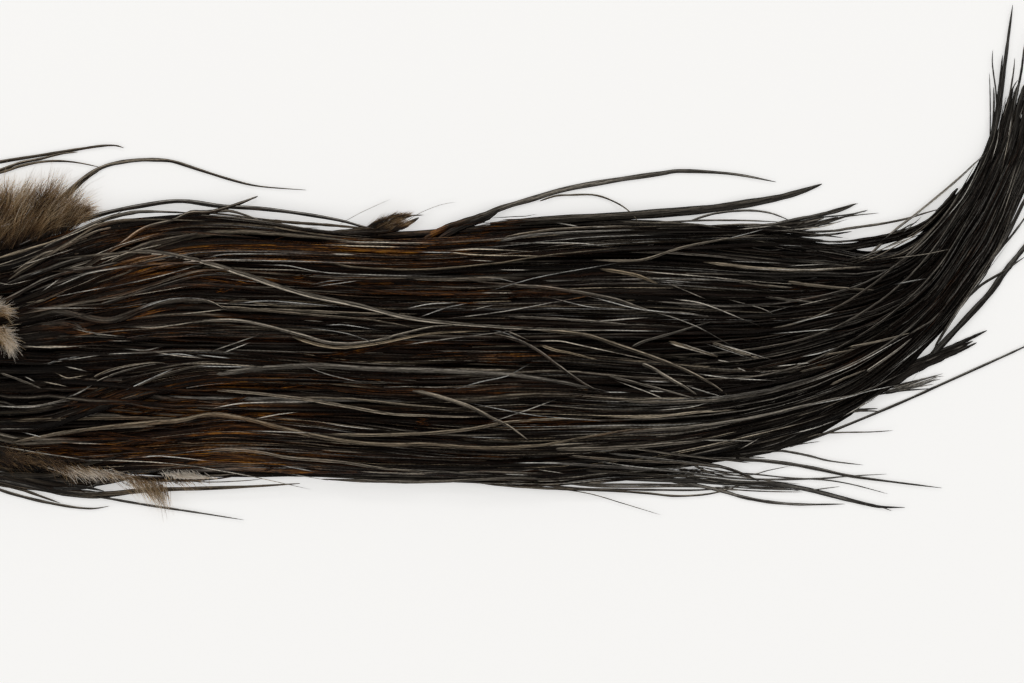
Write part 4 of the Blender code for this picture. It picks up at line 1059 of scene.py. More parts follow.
# Thin loose strands and split tips with no solid of their own, beside the spread
WISPS = (
    (3, 0.5, 0.5, ((-60, 190), (0, 170), (20, 163), (40, 159), (60, 154), (78, 152))),
    (3, 0.5, 1, ((60, 205), (72, 192), (86, 179), (100, 170))),
    (4.8, 0.45, 1.8, ((170, 224), (190, 213), (210, 212), (235, 205), (258, 196))),
    (3.6, 0.5, 1.2, ((150, 222), (190, 214), (220, 211), (235, 212), (262, 221))),
    (2, 0.5, 0.8, ((540, 201), (555, 196), (570, 195), (595, 195), (615, 202), (630, 212), (641, 226))),
    (2.4, 0.7, 0.8, ((690, 221), (715, 213.5), (745, 210.5), (770, 213), (791, 221))),
    (0.5, 0.8, 0.5, ((340, 224), (360, 213), (375, 206), (391, 199))),
    (5, 0.06, 0.4, ((356, 231), (372, 227.5), (384, 224), (394, 220.5), (404, 217.5), (413, 215.5))),
    (0.5, 0.8, 0.5, ((405, 222), (420, 213), (440, 205), (456, 202))),
    (6, 0.1, 0.6, ((318, 234), (345, 232), (370, 229.5), (392, 228), (410, 224))),
    (6, 0.12, 0.5, ((328, 236), (360, 233), (388, 230.5), (402, 226.5), (411, 222), (419, 217.5))),
    (1.6, 0.9, 0.5, ((886, 391), (903, 386.5), (922, 380), (943, 373.5))),
    (1.6, 0.8, 0.5, ((884, 392), (904, 387.5), (922, 382), (940, 376))),
    (1.8, 0.9, 0.5, ((884, 393), (905, 388.5), (922, 383.5), (937, 378.5))),
    (1.6, 0.75, 0.5, ((886, 394), (906, 389.5), (920, 385.5), (932, 381.5))),
    (1.4, 0.9, 0.5, ((890, 390), (908, 384), (924, 378.5), (944, 376))),
    (1.4, 0.85, 0.5, ((888, 392), (905, 387), (925, 382.5), (941, 379))),
    (1.4, 0.9, 0.5, ((890, 393), (908, 389), (920, 386.5), (934, 384))),
    (7, 0.06, -1, ((424, 239), (446, 228), (466, 221), (486, 214), (505, 205.5))),
    (8, 0.1, -1, ((436, 241), (456, 229), (471, 223), (485, 218), (494, 212.5), (504, 206))),
    (2.6, 0.5, 0.6, ((770, 233), (830, 231), (850, 228), (880, 224), (905, 219), (925, 213), (943, 208))),
    (2.8, 0.5, 0.6, ((770, 232), (800, 230), (822, 224), (845, 216.5), (868, 210))),
    (2.6, 0.45, 0.6, ((760, 227), (800, 219), (818, 216), (840, 211), (856, 204))),
    (1.6, 0.4, 0.6, ((815, 226), (830, 220), (850, 216), (879, 213))),
    (2.6, 0.6, 0.9, ((868, 256), (880, 245), (894, 231), (916, 214), (939, 195), (962, 175), (982, 156))),
    (1.6, 0.5, 0.7, ((890, 236), (901, 230), (910, 225), (917, 222))),
    (3, 0.2, 0.7, ((935, 346), (950, 322), (962, 304), (980, 286), (1002, 272.5), (1013, 265),
        (1026, 256))),
    (5, 0.1, 0.8, ((972, 284), (985, 267), (1000, 247), (1011, 228), (1024, 202), (1036, 176))),
    (2.4, 0.2, 0.8, ((985, 268), (1003, 246), (1013, 234), (1024, 219), (1036, 202))),
    (5, 0.12, 0.9, ((932, 219), (940, 210), (948, 201), (954, 193), (958, 188))),
    (2.4, 0.2, 0.7, ((828, 414), (843, 411.5), (856, 410), (868, 409), (878, 408.5))),
    (2, 0.2, 0.7, ((832, 416), (848, 412.5), (861, 411), (872, 411), (881, 411.5))),
    (1.6, 0.5, 0.4, ((800, 440), (820, 434), (840, 432.5), (870, 432), (893, 430.5))),
    (2.6, 0.5, 0.4, ((740, 454), (775, 451), (790, 452), (810, 456), (830, 461), (863, 465))),
    (1.6, 0.5, 0.4, ((735, 459), (750, 457), (766, 458))),
    (3.4, 0.15, 0.5, ((690, 460), (703, 463), (720, 466.5), (735, 471), (750, 477), (759, 481))),
    (2.4, 0.2, 0.5, ((680, 460), (692, 464), (703, 470), (715, 474), (726, 477))),
    (2.2, 0.8, 0.4, ((680, 472), (714, 476), (740, 478.5), (770, 479.5), (820, 478.5), (850, 476),
        (887, 474))),
    (1.5, 0.7, 0.4, ((670, 468), (700, 472), (725, 475), (752, 474.5), (768, 470.5), (790, 466))),
    (1.6, 0.5, 0.4, ((700, 467), (725, 472), (752, 474), (790, 478), (825, 480), (850, 484), (870, 489),
        (888, 494))),
    (1.8, 0.6, 0.4, ((640, 470), (680, 474), (710, 478), (740, 481), (775, 482))),
    (1.5, 0.5, 0.4, ((650, 466), (690, 470), (715, 472), (740, 476), (770, 481), (800, 484))),
    (1.6, 0.3, 0.4, ((660, 474), (700, 479), (730, 484), (760, 488), (790, 489))),
    (1.4, 0.6, 0.4, ((715, 487), (740, 490), (770, 491.5), (803, 492))),
    (1.4, 0.6, 0.4, ((722, 486), (745, 488), (775, 489.5), (806, 490))),
    (1.6, 0.5, 0.4, ((728, 484), (750, 486.5), (780, 488), (800, 491))),
    (1.2, 0.5, 0.4, ((805, 491), (817, 489.5), (828, 488), (840, 486.5))),
    (1.2, 0.5, 0.4, ((860, 504), (880, 507), (892, 511))),
    (1, 0.55, 0.4, ((560, 489), (591, 494), (625, 504), (661, 515))),
    (2.6, 0.6, 0.5, ((540, 481), (580, 484), (620, 484.5), (660, 484.5), (690, 485.5), (724, 488.5))),
    (2, 0.7, 0.5, ((560, 483), (600, 486.5), (640, 487), (680, 486.5), (705, 487.5), (738, 491))),
    (2.2, 0.3, 0.5, ((530, 484), (580, 488.5), (620, 489.5), (660, 490), (700, 490), (735, 486.5),
        (760, 483))),
    (2.4, 0.4, 0.5, ((510, 485), (560, 489), (605, 490.5), (645, 493), (675, 496), (705, 494.5),
        (726, 490), (745, 484))),
    (2.2, 0.4, 0.5, ((480, 483), (520, 487), (570, 489.5), (620, 488.5))),
    (4, 0.35, 0.5, ((-150, 433), (-86, 460), (-20, 480), (0, 484), (20, 489), (40, 496), (60, 503))),
    (5, 0.25, 0.6, ((-140, 432), (-80, 459), (-10, 482), (40, 489), (70, 495), (100, 497), (140, 492))),
    (2.6, 0.4, 0.5, ((-110, 434), (-30, 468), (50, 480), (90, 479.5), (120, 478.5), (150, 477),
        (200, 477))),
    (3.4, 0.4, 0.6, ((-120, 436), (-50, 464), (30, 484), (60, 488), (85, 488), (100, 484), (116, 480))),
    (4.4, 0.08, 1.4, ((990, 150), (997, 124), (1001, 98), (1004, 72), (1007, 50), (1009.5, 30),
        (1012.7, 5))),
    (3.6, 0.08, 1.2, ((988, 150), (995, 122), (998.5, 98), (1000.8, 76), (1002.6, 55))),
    (1.3, 0.25, 1, ((990, 140), (990.4, 119), (990, 90), (989.4, 73))),
    (1.6, 0.25, 1, ((997, 115), (996, 92), (993.6, 74), (992.3, 62), (992.8, 50))),
    (2.2, 0.15, 1, ((991, 140), (993.4, 119), (994, 100), (993.6, 87))),
    (2, 0.2, 1, ((1002, 122), (1008, 104), (1011.5, 85), (1013.8, 70), (1014.8, 58))),
    (1.6, 0.15, 1, ((1006, 112), (1010.5, 95), (1014, 86), (1017.8, 80))),
    (2.6, 0.35, 1.2, ((1012, 118), (1018, 88), (1021.5, 70), (1024, 50), (1028, 28))),
    (6, 0.05, 0.9, ((996, 158), (1000, 134), (1005, 116), (1009, 101), (1013, 88))),
    (7, 0.05, 1, ((1000, 165), (1006, 138), (1011, 116), (1015, 98), (1019, 83))),
    (8, 0.05, 1.1, ((1008, 165), (1014, 138), (1018, 114), (1022, 97), (1025, 84))),
    (8, 0.05, 1.1, ((1016, 160), (1022, 134), (1026, 112), (1030, 96), (1034, 82))),
    (2, 0.2, 0.5, ((870, 396), (892, 392), (905, 390.5), (932, 388.5))),
    (2.4, 0.2, 0.5, ((890, 388), (905, 383.5), (922, 379.5), (940, 374.5))),
    (4, 0.08, 0.6, ((915, 369), (940, 359), (955, 353), (966, 348), (977, 342.5))),
    (4, 0.08, 0.6, ((910, 368), (938, 356), (954, 349.5), (964, 345), (973, 341))),
    (5, 0.08, 0.6, ((905, 367), (935, 354), (955, 345.5), (970, 338.5), (987, 330.5))),
    (2, 0.5, 0.6, ((650, 223), (700, 220.5), (745, 220.5), (780, 222))),
    (7, 0.06, -0.6, ((740, 233), (765, 229), (785, 226), (802, 223), (824, 218))),
    (6, 0.08, -0.6, ((745, 236), (775, 231), (795, 227.5), (815, 224), (838, 217))),
    (2.4, 0.3, 0.6, ((690, 228), (730, 225), (765, 225), (800, 229))),
    (2.6, 0.05, 1.6, ((366, 228), (378, 222), (390, 218), (398, 216.5), (410, 215.5), (424, 215))),
    (2.6, 0.15, 0.7, ((790, 230), (805, 222), (820, 215), (838, 209), (858, 203.5))),
    (1.6, 0.3, 0.7, ((800, 221), (820, 217.5), (845, 215), (867, 211))),
    (1.8, 0.4, 0.7, ((790, 233), (820, 231.5), (841, 230), (869, 226), (895, 220.5))),
    (3, 0.1, 0.6, ((770, 234), (800, 235.5), (825, 235), (852, 231.5))),
    (1.4, 0.3, 0.7, ((800, 228), (815, 226), (827, 224), (840, 222))),
    (1.2, 0.3, 0.5, ((780, 449), (796, 445), (808, 443), (820, 441.5))),
    (7, 0.06, 0.7, ((-160, 424), (-98, 452), (-40, 470), (-10, 474), (20, 480), (50, 487), (85, 492))),
    (10, 0.05, 0.9, ((-150, 420), (-104, 441), (-60, 458), (-20, 464), (20, 470), (60, 474), (90, 476),
        (125, 474))),
    (10, 0.05, 0.8, ((-158, 421), (-106, 444), (-60, 462), (-20, 469), (20, 477), (60, 483.5),
        (90, 484.5), (127, 479.5))),
    (9, 0.05, 0.85, ((-140, 424), (-98, 444), (-60, 460), (-20, 467), (20, 474), (60, 479), (90, 480),
        (128, 477))),
    (9, 0.05, 0.7, ((-168, 424), (-112, 449), (-60, 467), (-20, 474), (20, 482), (50, 488), (75, 491.5),
        (102, 493))),
    (7, 0.08, 0.6, ((-150, 428), (-88, 456), (-30, 474), (0, 479), (30, 485.5), (60, 491), (95, 495))),
    (6, 0.1, 0.8, ((-130, 430), (-72, 453), (-20, 468), (10, 473), (45, 480), (80, 486), (104, 491))),
    (4.4, 0.12, 0.5, ((60, 470), (100, 475), (140, 478), (180, 478), (215, 475.5), (245, 473))),
    (3, 0.2, 0.4, ((90, 473), (130, 478), (165, 480.5), (200, 480), (232, 477))),
    (1.2, 0.5, 0.3, ((170, 479), (205, 482), (240, 481), (262, 479))),
    (15, 0.05, 0.3, ((-110, 262), (-50, 248), (0, 234), (30, 229), (66, 221))),
    (13, 0.05, 0.3, ((-110, 250), (-50, 234), (0, 219), (26, 214), (58, 209))),
    (1.6, 0.3, 0.6, ((240, 224), (262, 226), (285, 227.5), (320, 228))),
    (2, 0.3, 0.6, ((200, 212), (230, 215), (262, 219), (300, 222.5))),
)


# The height in millimetres that loose feathers lie at from about a third of their length on
LOOSE_LIE = 0.35


def loose_feathers(rng, table, rings):
    """Feathers along single routes beside the spread, lying on the floor or on the pile's thin edge."""
    pixels_wide, pale, height, routes = table_columns(table)
    share = shares(len(table), rings)
    flat = np.interp(share, (0, 0.35), (0, 1))
    lie = (height * (1 - flat) + LOOSE_LIE * flat) * MM
    path = lay_down(on_routes(routes, share), 0.5 * lie, (-1.0, 0.0), lie)
    width = blade_widths(rng, share, (1, 1), tip=0.1, root=0.4) * pixels_wide * MM_PER_PIXEL
    roll = rolls(rng, share, 0.06, 0.08)
    # Painted lit side: one vane lighter than the other
    lean = rng.uniform(0.1, 0.8, (len(table), 1))
    return dress(rng, path, width, roll, pale * 0.8, rng.uniform(0.3, 0.6, (len(table), 1)), lean=lean)


# Down and ragged barbs: line of the shafts in pixels, how many, lengths in millimetres, lean in degrees at
# both ends of the line, scatter in pixels, root heights in millimetres, lightness and how wild they are
DOWN = {
    "flank": (((-112, 250), (-60, 248), (0, 247), (24, 240), (46, 232), (66, 226)), 3900,
        (7, 16), (84, 56), (3, 7), (0.4, 2.4), 0.3, 1),
    "flank_top": (((-100, 220), (-40, 213), (0, 216), (26, 213), (48, 210)), 1850, (6.5, 12), (82, 62),
        (4, 7), (1.2, 3.4), 0.32, 1),
    "end": (((62, 229), (69, 224), (76, 218), (80, 210)), 900, (3, 7.5), (64, 14), (2.5, 3),
        (0.5, 2.6), 0.28, 1),
    "plume": (((124, 477), (136, 480), (148, 484), (158, 488)), 300, (2, 8.5), (-50, -66), (5.5, 3.5),
        (0.02, 0.1), 0.52, 0.6),
    "plume_tip": (((148, 483), (156, 486), (163, 490)), 90, (3.5, 8.8), (-58, -72), (3.5, 3),
        (0.02, 0.1), 0.5, 0.6),
    "low_side": (((-60, 450), (-20, 453), (10, 455), (50, 461)), 620, (3.5, 9), (0, -18), (8, 4.5),
        (1, 2.6), 0.13, 1),
    "pale_barbs": (((60, 467), (76, 468), (90, 470), (104, 472)), 240, (2.5, 7.5), (-30, -2), (5, 1.3),
        (0.5, 1.3), 1.2, 0.9),
    "brown_barbs": (((56, 464), (80, 467), (104, 471), (124, 476)), 280, (2.5, 7), (-36, -12), (6, 2.2),
        (0.6, 1.5), 0.42, 1),
    "pale_wisps": (((206, 478), (190, 478), (172, 478.5)), 150, (2.5, 8), (168, 132), (6, 0.8),
        (0.4, 0.9), 1.3, 1),
    "plume_root": (((130, 477), (146, 479), (166, 480), (196, 479)), 190, (2, 6), (-30, -20),
        (6, 1.2), (0.2, 0.6), 0.42, 1.2),
    "middle_high": (((-20, 311), (-10, 311), (-2, 312)), 480, (3.5, 6.2), (66, -4), (2.5, 2.5),
        (2.6, 4.4), 0.66, 0.9),
    "middle_low": (((-12, 334), (-3, 334), (4, 333)), 560, (4, 8), (22, -66), (2.5, 3),
        (2.6, 4.4), 0.72, 0.9),
    "flank_left": (((-24, 214), (-8, 212), (8, 209), (22, 208)), 300, (6, 10.5), (88, 74), (4, 6),
        (0.8, 2.4), 0.36, 1),
}

# More down at the end of the flank that the photograph doesn't reach, and two dark, fluffy feather tips
FAR_DOWN = {
    "flank_far": (((-106, 242), (-70, 238), (-40, 234), (-16, 232)), 1700, (6, 12), (86, 72),
        (5, 9), (0.3, 2), 0.3, 0.8),
}
DARK_BARBS = {
    "fluffy_tip_up": (((369, 227), (379, 222.5), (391, 218), (402, 216.5)), 300, (2.4, 4.6), (50, 22),
        (1.2, 0.7), (0.4, 1.1), 0.1, 0.4),
    "fluffy_tip_middle": (((374, 227), (386, 225), (398, 222)), 280, (2.5, 4.8), (34, 20), (2, 1.8),
        (0.2, 0.8), 0.18, 0.35),
    "fluffy_tip_low": (((380, 229), (392, 229), (402, 228)), 190, (2.5, 5.2), (36, 32), (2.2, 1),
        (0.2, 0.8), 0.22, 0.25),
}

# Rings of a barb, and the directions in radians of a ring's three points
BARB_RINGS = 4
BARB_TURNS = np.array((0.5, 2.6, 4.7))


def barb_piece(name, banks, material):
    """One mesh of many fine barbs, each a closed three-sided spike that bends and thins to its tip.

    A barb's line is root + length * t along its lean, which turns by bend * t on the way, and its
    height is root height + lift * sin(t * pi / 2), at least its width.
    """
    root, lean, length, lift, width, bend, shade = (
        np.concatenate([bank[key] for bank in banks])
        for key in ("root", "lean", "length", "lift", "width", "bend", "shade"))
    rows = len(root)
    t = np.linspace(0, 1, BARB_RINGS)[None]
    heading = lean[:, None] + bend[:, None] * t
    stride = length[:, None] / (BARB_RINGS - 1)
    x = root[:, :1] + np.cumsum(np.cos(heading) * stride, axis=1) - np.cos(heading[:, :1]) * stride
    y = root[:, 1:2] + np.cumsum(np.sin(heading) * stride, axis=1) - np.sin(heading[:, :1]) * stride
    z = np.maximum(root[:, 2:3] + lift[:, None] * np.sin(t * math.pi / 2), width[:, None])
    path = np.stack((x, y, z), axis=-1)
    side, up = blade_axes(path, np.zeros((rows, BARB_RINGS)))
    radius = width[:, None, None] / 2 * np.linspace(1, 0.22, BARB_RINGS)[None, :, None]
    offset = (side[:, :, None] * (np.cos(BARB_TURNS) * radius)[..., None]
              + up[:, :, None] * (np.sin(BARB_TURNS) * radius)[..., None])
    points = (path[:, :, None] + offset).reshape(-1, 3)
    # Darker at the root and lighter at the tip: partly the down's own colour, partly painted shade among
    # the roots and painted light through the thin tips
    light = np.broadcast_to(shade[:, None, None] + 0.75 * (t[..., None] - 0.42), radius.shape[:2] + (3,))
    colours = np.clip(np.stack((light, light, light, np.ones_like(light)), axis=-1), 0, 1)
    return fill_mesh(name, material, points, tube_faces(rows, BARB_RINGS, 3), colours.reshape(-1, 4))


# Tufts of a bank, how strongly their barbs gather, and the rows from which a bank lies beside the pile
CLUMPS_A_BANK = 26
GATHER = 0.7
CROWDED_ROWS = 700


def down_bank(rng, line, rows, lengths, leans, scatter, heights, lightness, wild):
    """Barbs that fan out from a line of shafts, in tufts that share some of their lean and lightness.

    The barbs of a tuft lean together, so that their tips gather. heights are over the floor in the big
    banks beside the spread, and over the pile in the others. wild is how far the barbs part from their
    common lean and how much they bend. Pale barbs are the widest.
    """
    share = np.sort(rng.uniform(0, 1, rows))
    clump = np.round(share * CLUMPS_A_BANK).astype(int)
    turn, reach, tint = rng.normal(0, 1, (3, CLUMPS_A_BANK + 1))
    pixels = on_spline(line, share * (len(line) - 1)) + rng.normal(0, scatter, (rows, 2))
    height = pile_top(from_photo(pixels)) * (rows < CROWDED_ROWS) + rng.uniform(*heights, rows) * MM
    plan = seen_at(pixels, height)
    lean = np.radians(np.interp(share, (0, 1), leans))
    lean = lean + wild * (0.16 * turn[clump] + rng.normal(0, 0.12, rows))
    long = rng.uniform(*lengths, rows) * np.clip(0.9 + 0.13 * reach[clump], 0.5, 1.15) * MM
    middle = seen_at(on_spline(line, clump / CLUMPS_A_BANK * (len(line) - 1)), height)
    beside = ((plan - middle) * np.stack((-np.sin(lean), np.cos(lean)), axis=1)).sum(axis=1)
    lean = lean - GATHER * wild * np.clip(beside / long, -0.5, 0.5)
    widest = 1 + 0.8 * min(lightness, 1.0) ** 3
    return {
        "root": at_height(plan, height), "lean": lean, "length": long,
        "lift": rng.uniform(-0.1, 0.22, rows) * long * wild,
        "width": rng.uniform(0.07, 0.17, rows) * widest * MM,
        "bend": wild * rng.normal(-0.2, 0.22, rows),
        "shade": np.clip(lightness + 0.16 * tint[clump] + rng.normal(0, 0.08, rows), 0, 1.5),
    }


def add_node(tree, kind, settings=None, links=None):
    """A new shader node: settings are input values or properties by name, links come from other nodes.

    A link is named by its input, and comes from an output or from a node's first output.
    """
    made = tree.nodes.new("ShaderNode" + kind)
    for key, value in (settings or {}).items():
        if isinstance(key, int) or key in made.inputs:
            made.inputs[key].default_value = value
        else:
            setattr(made, key, value)
    for key, source in (links or {}).items():
        output = source if isinstance(source, bpy.types.NodeSocket) else source.outputs[0]
        tree.links.new(output, made.inputs[key])
    return made


def new_material(name, roughness, ior):
    """A material with its node tree and Principled shader, whose fixed values are set on its sockets."""
    material = bpy.data.materials.new(name)
    material.use_nodes = True
    shader = material.node_tree.nodes["Principled BSDF"]
    shader.inputs["Roughness"].default_value = roughness
    shader.inputs["IOR"].default_value = ior
    return material, material.node_tree, shader


def set_ramp(ramp_node, stops):
    """Fills a colour ramp with (place, linear colour) stops."""
    elements = ramp_node.color_ramp.elements
    while len(elements) < len(stops):
        elements.new(0.5)
    for element, (place, colour) in zip(elements, stops):
        element.position = place
        element.color = (*colour, 1.0)


# Barbs on a vane: real ones are 0.15 mm apart, half a pixel, so their lines are drawn ten times as far
# apart. They lean forward by BARB_SLANT along to 1 across.
BARB_PITCH_MM = 1.5
BARB_SLANT = 4.5
VANE_ROUGHNESS = 0.2
QUILL_ROUGHNESS = 0.20
VANE_MATERIAL = "black_hackle_vane"
VANE_STOPS = ((0.22, "#20120a"), (0.5, "#4a2a10"), (0.78, "#7c4917"))
# Colours of undersides, which painted highlights and quill glints take as well
UNDERSIDE_AND_HIGHLIGHT_GREY = "#bcbab4"
UNDERSIDE_AND_HIGHLIGHT_TAN = "#ccb592"
DOWN_STOPS = ((0.0, "#15100b"), (0.25, "#4d3721"), (0.5, "#96734a"), (0.75, "#d2b78e"))
HIDE_STOPS = ((0.36, "#6e4c2c"), (0.5, "#ab8557"), (0.64, "#cfb389"))


def read_stops(stops):
    """Ramp stops with their hex colours as linear ones."""
    return [(place, srgb(code)) for place, code in stops]


def plumage_material(name, black, brown):
    """Keratin barbs hooked into vanes: near black and half matt, beside a narrow glossy quill.

    The eye gets dark blades that turn orange brown where light comes through them, pale grey or tan
    undersides, and fine streaks along each feather. The mesh's colour also paints light on them: pale
    highlight bands and quill glints, lit and shaded vanes, and painted shade down in the pile.
    """
    material, tree, shader = new_material(name, VANE_ROUGHNESS, 1.55)
    shader.inputs["Specular IOR Level"].default_value = 0.1
    shader.inputs["Specular Tint"].default_value = (1.0, 0.95, 0.91, 1.0)
    uv = add_node(tree, "UVMap", {"uv_map": "vane"})
    parts = add_node(tree, "SeparateXYZ", links={0: uv})
    from_quill = add_node(tree, "Math", {"operation": "ABSOLUTE"}, {0: parts.outputs["X"]})
    plumage = add_node(tree, "VertexColor", {"layer_name": "plumage"})
    mask = add_node(tree, "SeparateColor", links={0: plumage.outputs["Color"]})

    # Streaks along the feather, where barbs lie over each other in bundles
    slow = add_node(tree, "Math", {"operation": "MULTIPLY", 1: 0.045}, {0: parts.outputs["Y"]})
    drawn_out = add_node(tree, "CombineXYZ", links={"X": parts.outputs["X"], "Y": slow})
    streaks = add_node(tree, "TexNoise", {"Scale": 3.2, "Detail": 3.0, "Roughness": 0.7},
                       {"Vector": drawn_out})

    # Barbs lean forward from the quill, so a line of them has an equal along - slant * across
    slant = add_node(tree, "Math", {"operation": "MULTIPLY_ADD", 1: -BARB_SLANT},
                     {0: from_quill, 2: parts.outputs["Y"]})
    shaken = add_node(tree, "Math", {"operation": "MULTIPLY_ADD", 1: 2.0}, {0: streaks, 2: slant})
    phase = add_node(tree, "Math", {"operation": "MULTIPLY", 1: 2 * math.pi / BARB_PITCH_MM}, {0: shaken})
    barbs = add_node(tree, "Math", {"operation": "SINE"}, {0: phase})

    # Colour: the tone runs from black to orange brown in streaks, then undersides and painted highlights go
    # pale in streaks
    tone_streak = add_node(tree, "MapRange",
                           {"From Min": 0.38, "From Max": 0.66, "To Min": 0.15, "To Max": 1.5},
                           {"Value": streaks})
    toned = add_node(tree, "Math", {"operation": "MULTIPLY", "use_clamp": True},
                     {0: mask.outputs["Red"], 1: tone_streak})
    ramp = add_node(tree, "ValToRGB", links={0: toned})
    set_ramp(ramp, [(0.0, black)] + read_stops(VANE_STOPS) + [(1.0, brown)])
    pale_streak = add_node(tree, "MapRange",
                           {"From Min": 0.38, "From Max": 0.60, "To Min": 0.15, "To Max": 1.4},
                           {"Value": streaks})
    pale = add_node(tree, "Math", {"operation": "MULTIPLY", "use_clamp": True},
                    {0: mask.outputs["Green"], 1: pale_streak})
    under = add_node(tree, "Mix",
                     {"data_type": "RGBA", 6: (*srgb(UNDERSIDE_AND_HIGHLIGHT_GREY), 1.0), 7: (*srgb(UNDERSIDE_AND_HIGHLIGHT_TAN), 1.0)},
                     {0: plumage.outputs["Alpha"]})
    undersides_and_highlights = add_node(tree, "Mix", {"data_type": "RGBA"}, {0: pale, 6: ramp, 7: under.outputs[2]})
    barb_light = add_node(tree, "MapRange",
                          {"From Min": -1.0, "From Max": 1.0, "To Min": 0.75, "To Max": 1.2},
                          {"Value": barbs})
    # Painted light and shade from the blue channel: lit and shaded vanes, shade down in the pile, painted
    # shine, and a tone that differs from feather to feather
    light = add_node(tree, "Math", {"operation": "MULTIPLY"}, {0: barb_light, 1: mask.outputs["Blue"]})
    shaded = add_node(tree, "Mix", {"data_type": "RGBA", "blend_type": "MULTIPLY", 0: 1.0},
                      {6: undersides_and_highlights.outputs[2], 7: light})
    tree.links.new(shaded.outputs[2], shader.inputs["Base Color"])

    # The quill is smooth and glossy, the vanes are not
    on_quill = add_node(tree, "MapRange",
                        {"From Min": 0.1, "From Max": 0.26, "To Min": 1.0, "To Max": 0.0},
                        {"Value": from_quill})
    vane_rough = add_node(tree, "MapRange", {"From Min": 0.35, "From Max": 0.65,
                           "To Min": VANE_ROUGHNESS - 0.04, "To Max": VANE_ROUGHNESS + 0.10},
                          {"Value": streaks})
    rough = add_node(tree, "Mix", {"data_type": "FLOAT", 3: QUILL_ROUGHNESS},
                     {0: on_quill, 2: vane_rough})
    tree.links.new(rough.outputs[0], shader.inputs["Roughness"])
    fine = add_node(tree, "Math", {"operation": "MULTIPLY_ADD", 1: 0.35}, {0: barbs, 2: streaks})
    bump = add_node(tree, "Bump", {"Strength": 1.0, "Distance": 0.10 * MM}, {"Height": fine})
    tree.links.new(bump.outputs[0], shader.inputs["Normal"])
    return material


def vane_material(settings):
    """The one material of all vanes and strands, made when it is first asked for."""
    made = bpy.data.materials.get(VANE_MATERIAL)
    return made or plumage_material(VANE_MATERIAL, settings.black, settings.brown)


def down_material(name, tip_colour):
    """Down: loose barbs with no hooks, soft and matt, and lighter towards their tips, partly by painted
    light.
    """
    material, tree, shader = new_material(name, 0.85, 1.5)
    plumage = add_node(tree, "VertexColor", {"layer_name": "plumage"})
    mask = add_node(tree, "SeparateColor", links={0: plumage.outputs["Color"]})
    ramp = add_node(tree, "ValToRGB", links={0: mask.outputs["Red"]})
    set_ramp(ramp, read_stops(DOWN_STOPS) + [(1.0, tip_colour)])
    tree.links.new(ramp.outputs[0], shader.inputs["Base Color"])
    return material


def skin_material():
    """Dried hide: dull parchment tan with darker fat stains, and the dark pores that quills leave."""
    material, tree, shader = new_material("dried_hide", 0.55, 1.5)
    place = add_node(tree, "TexCoord")
    stains = add_node(tree, "TexNoise", {"Scale": 70.0, "Detail": 7.0, "Roughness": 0.68},
                      {"Vector": place.outputs["Object"]})
    ramp = add_node(tree, "ValToRGB", links={0: stains})
    set_ramp(ramp, read_stops(HIDE_STOPS))
    pores = add_node(tree, "TexVoronoi", {"Scale": 420.0}, {"Vector": place.outputs["Object"]})
    dark = add_node(tree, "MapRange", {"From Min": 0.12, "From Max": 0.3, "To Min": 0.35, "To Max": 1.0},
                    {"Value": pores.outputs["Distance"]})
    marked = add_node(tree, "Mix", {"data_type": "RGBA", "blend_type": "MULTIPLY", 0: 1.0},
                      {6: ramp, 7: dark})
    tree.links.new(marked.outputs[2], shader.inputs["Base Color"])
    uneven = add_node(tree, "Math", {"operation": "MULTIPLY_ADD", 1: 2.5},
                      {0: stains, 2: pores.outputs["Distance"]})
    bump = add_node(tree, "Bump", {"Strength": 0.8, "Distance": 0.4 * MM}, {"Height": uneven})
    tree.links.new(bump.outputs[0], shader.inputs["Normal"])
    return material


def nodes_like(start):
    """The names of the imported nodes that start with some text."""
    return [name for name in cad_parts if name.startswith(start)]


def hand_over(piece, slot, *nodes):
    """Makes a finished piece move with the whole object and hides the nodes it stands for; slot is not
    used.
    """
    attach(piece, "root")
    if nodes:
        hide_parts(*nodes)


class HackleFeathers(PropertyGroup):
    seed: IntProperty(name="Seed", description="Where the random draws start", default=7)
    long_count: IntProperty(name="Long feathers", description="Feathers in the lowest layer",
                            default=240, min=10)
    long_widths: FloatVectorProperty(name="Long widths", unit="LENGTH", size=2,
                                     description="Narrowest and widest vane of the lowest layer",
                                     default=(1.2 * MM, 2.5 * MM))
    black: FloatVectorProperty(name="Black", description="Darkest colour of the vanes", subtype="COLOR",
                               default=srgb("#090603"))
    brown: FloatVectorProperty(name="Brown", description="Vanes that light comes through", subtype="COLOR",
                               default=srgb("#a56c1f"))
    down_tips: FloatVectorProperty(name="Down tips", description="Palest colour of the down",
                                   subtype="COLOR", default=srgb("#f4e9da"))


class HackleStage(PropertyGroup):
    floor: FloatVectorProperty(name="Floor", description="Colour of the floor", subtype="COLOR",
                               default=srgb("#f1f0ee"))
    key_power: FloatProperty(name="Key light", description="Power of the main soft boxes", default=3.9,
                             unit="POWER")
    sky: FloatProperty(name="Sky", description="Strength of the light from all around", default=0.54)
    glow: FloatProperty(name="Glow", description="Strength of the light that comes up through the paper",
                        default=0.49)


# Soft boxes: place from the frame's centre in metres, size in metres, share of the key light's power.
# The two at the ends light the floor but hardly glint on feathers that point at them.
LIGHTS = {
    "strip_back": ((0.0, 1.3, 0.85), (1.5, 0.22), 0.55),
    "strip_front": ((0.0, -1.3, 0.85), (1.5, 0.22), 0.35),
    "box_left": ((-1.6, 0.1, 0.85), (0.9, 0.7), 1.0),
    "box_right": ((1.6, 0.1, 0.85), (0.9, 0.7), 0.9),
}
FLOOR_SIZE = 6.0
FLOOR_LEVEL = -0.3 * MM

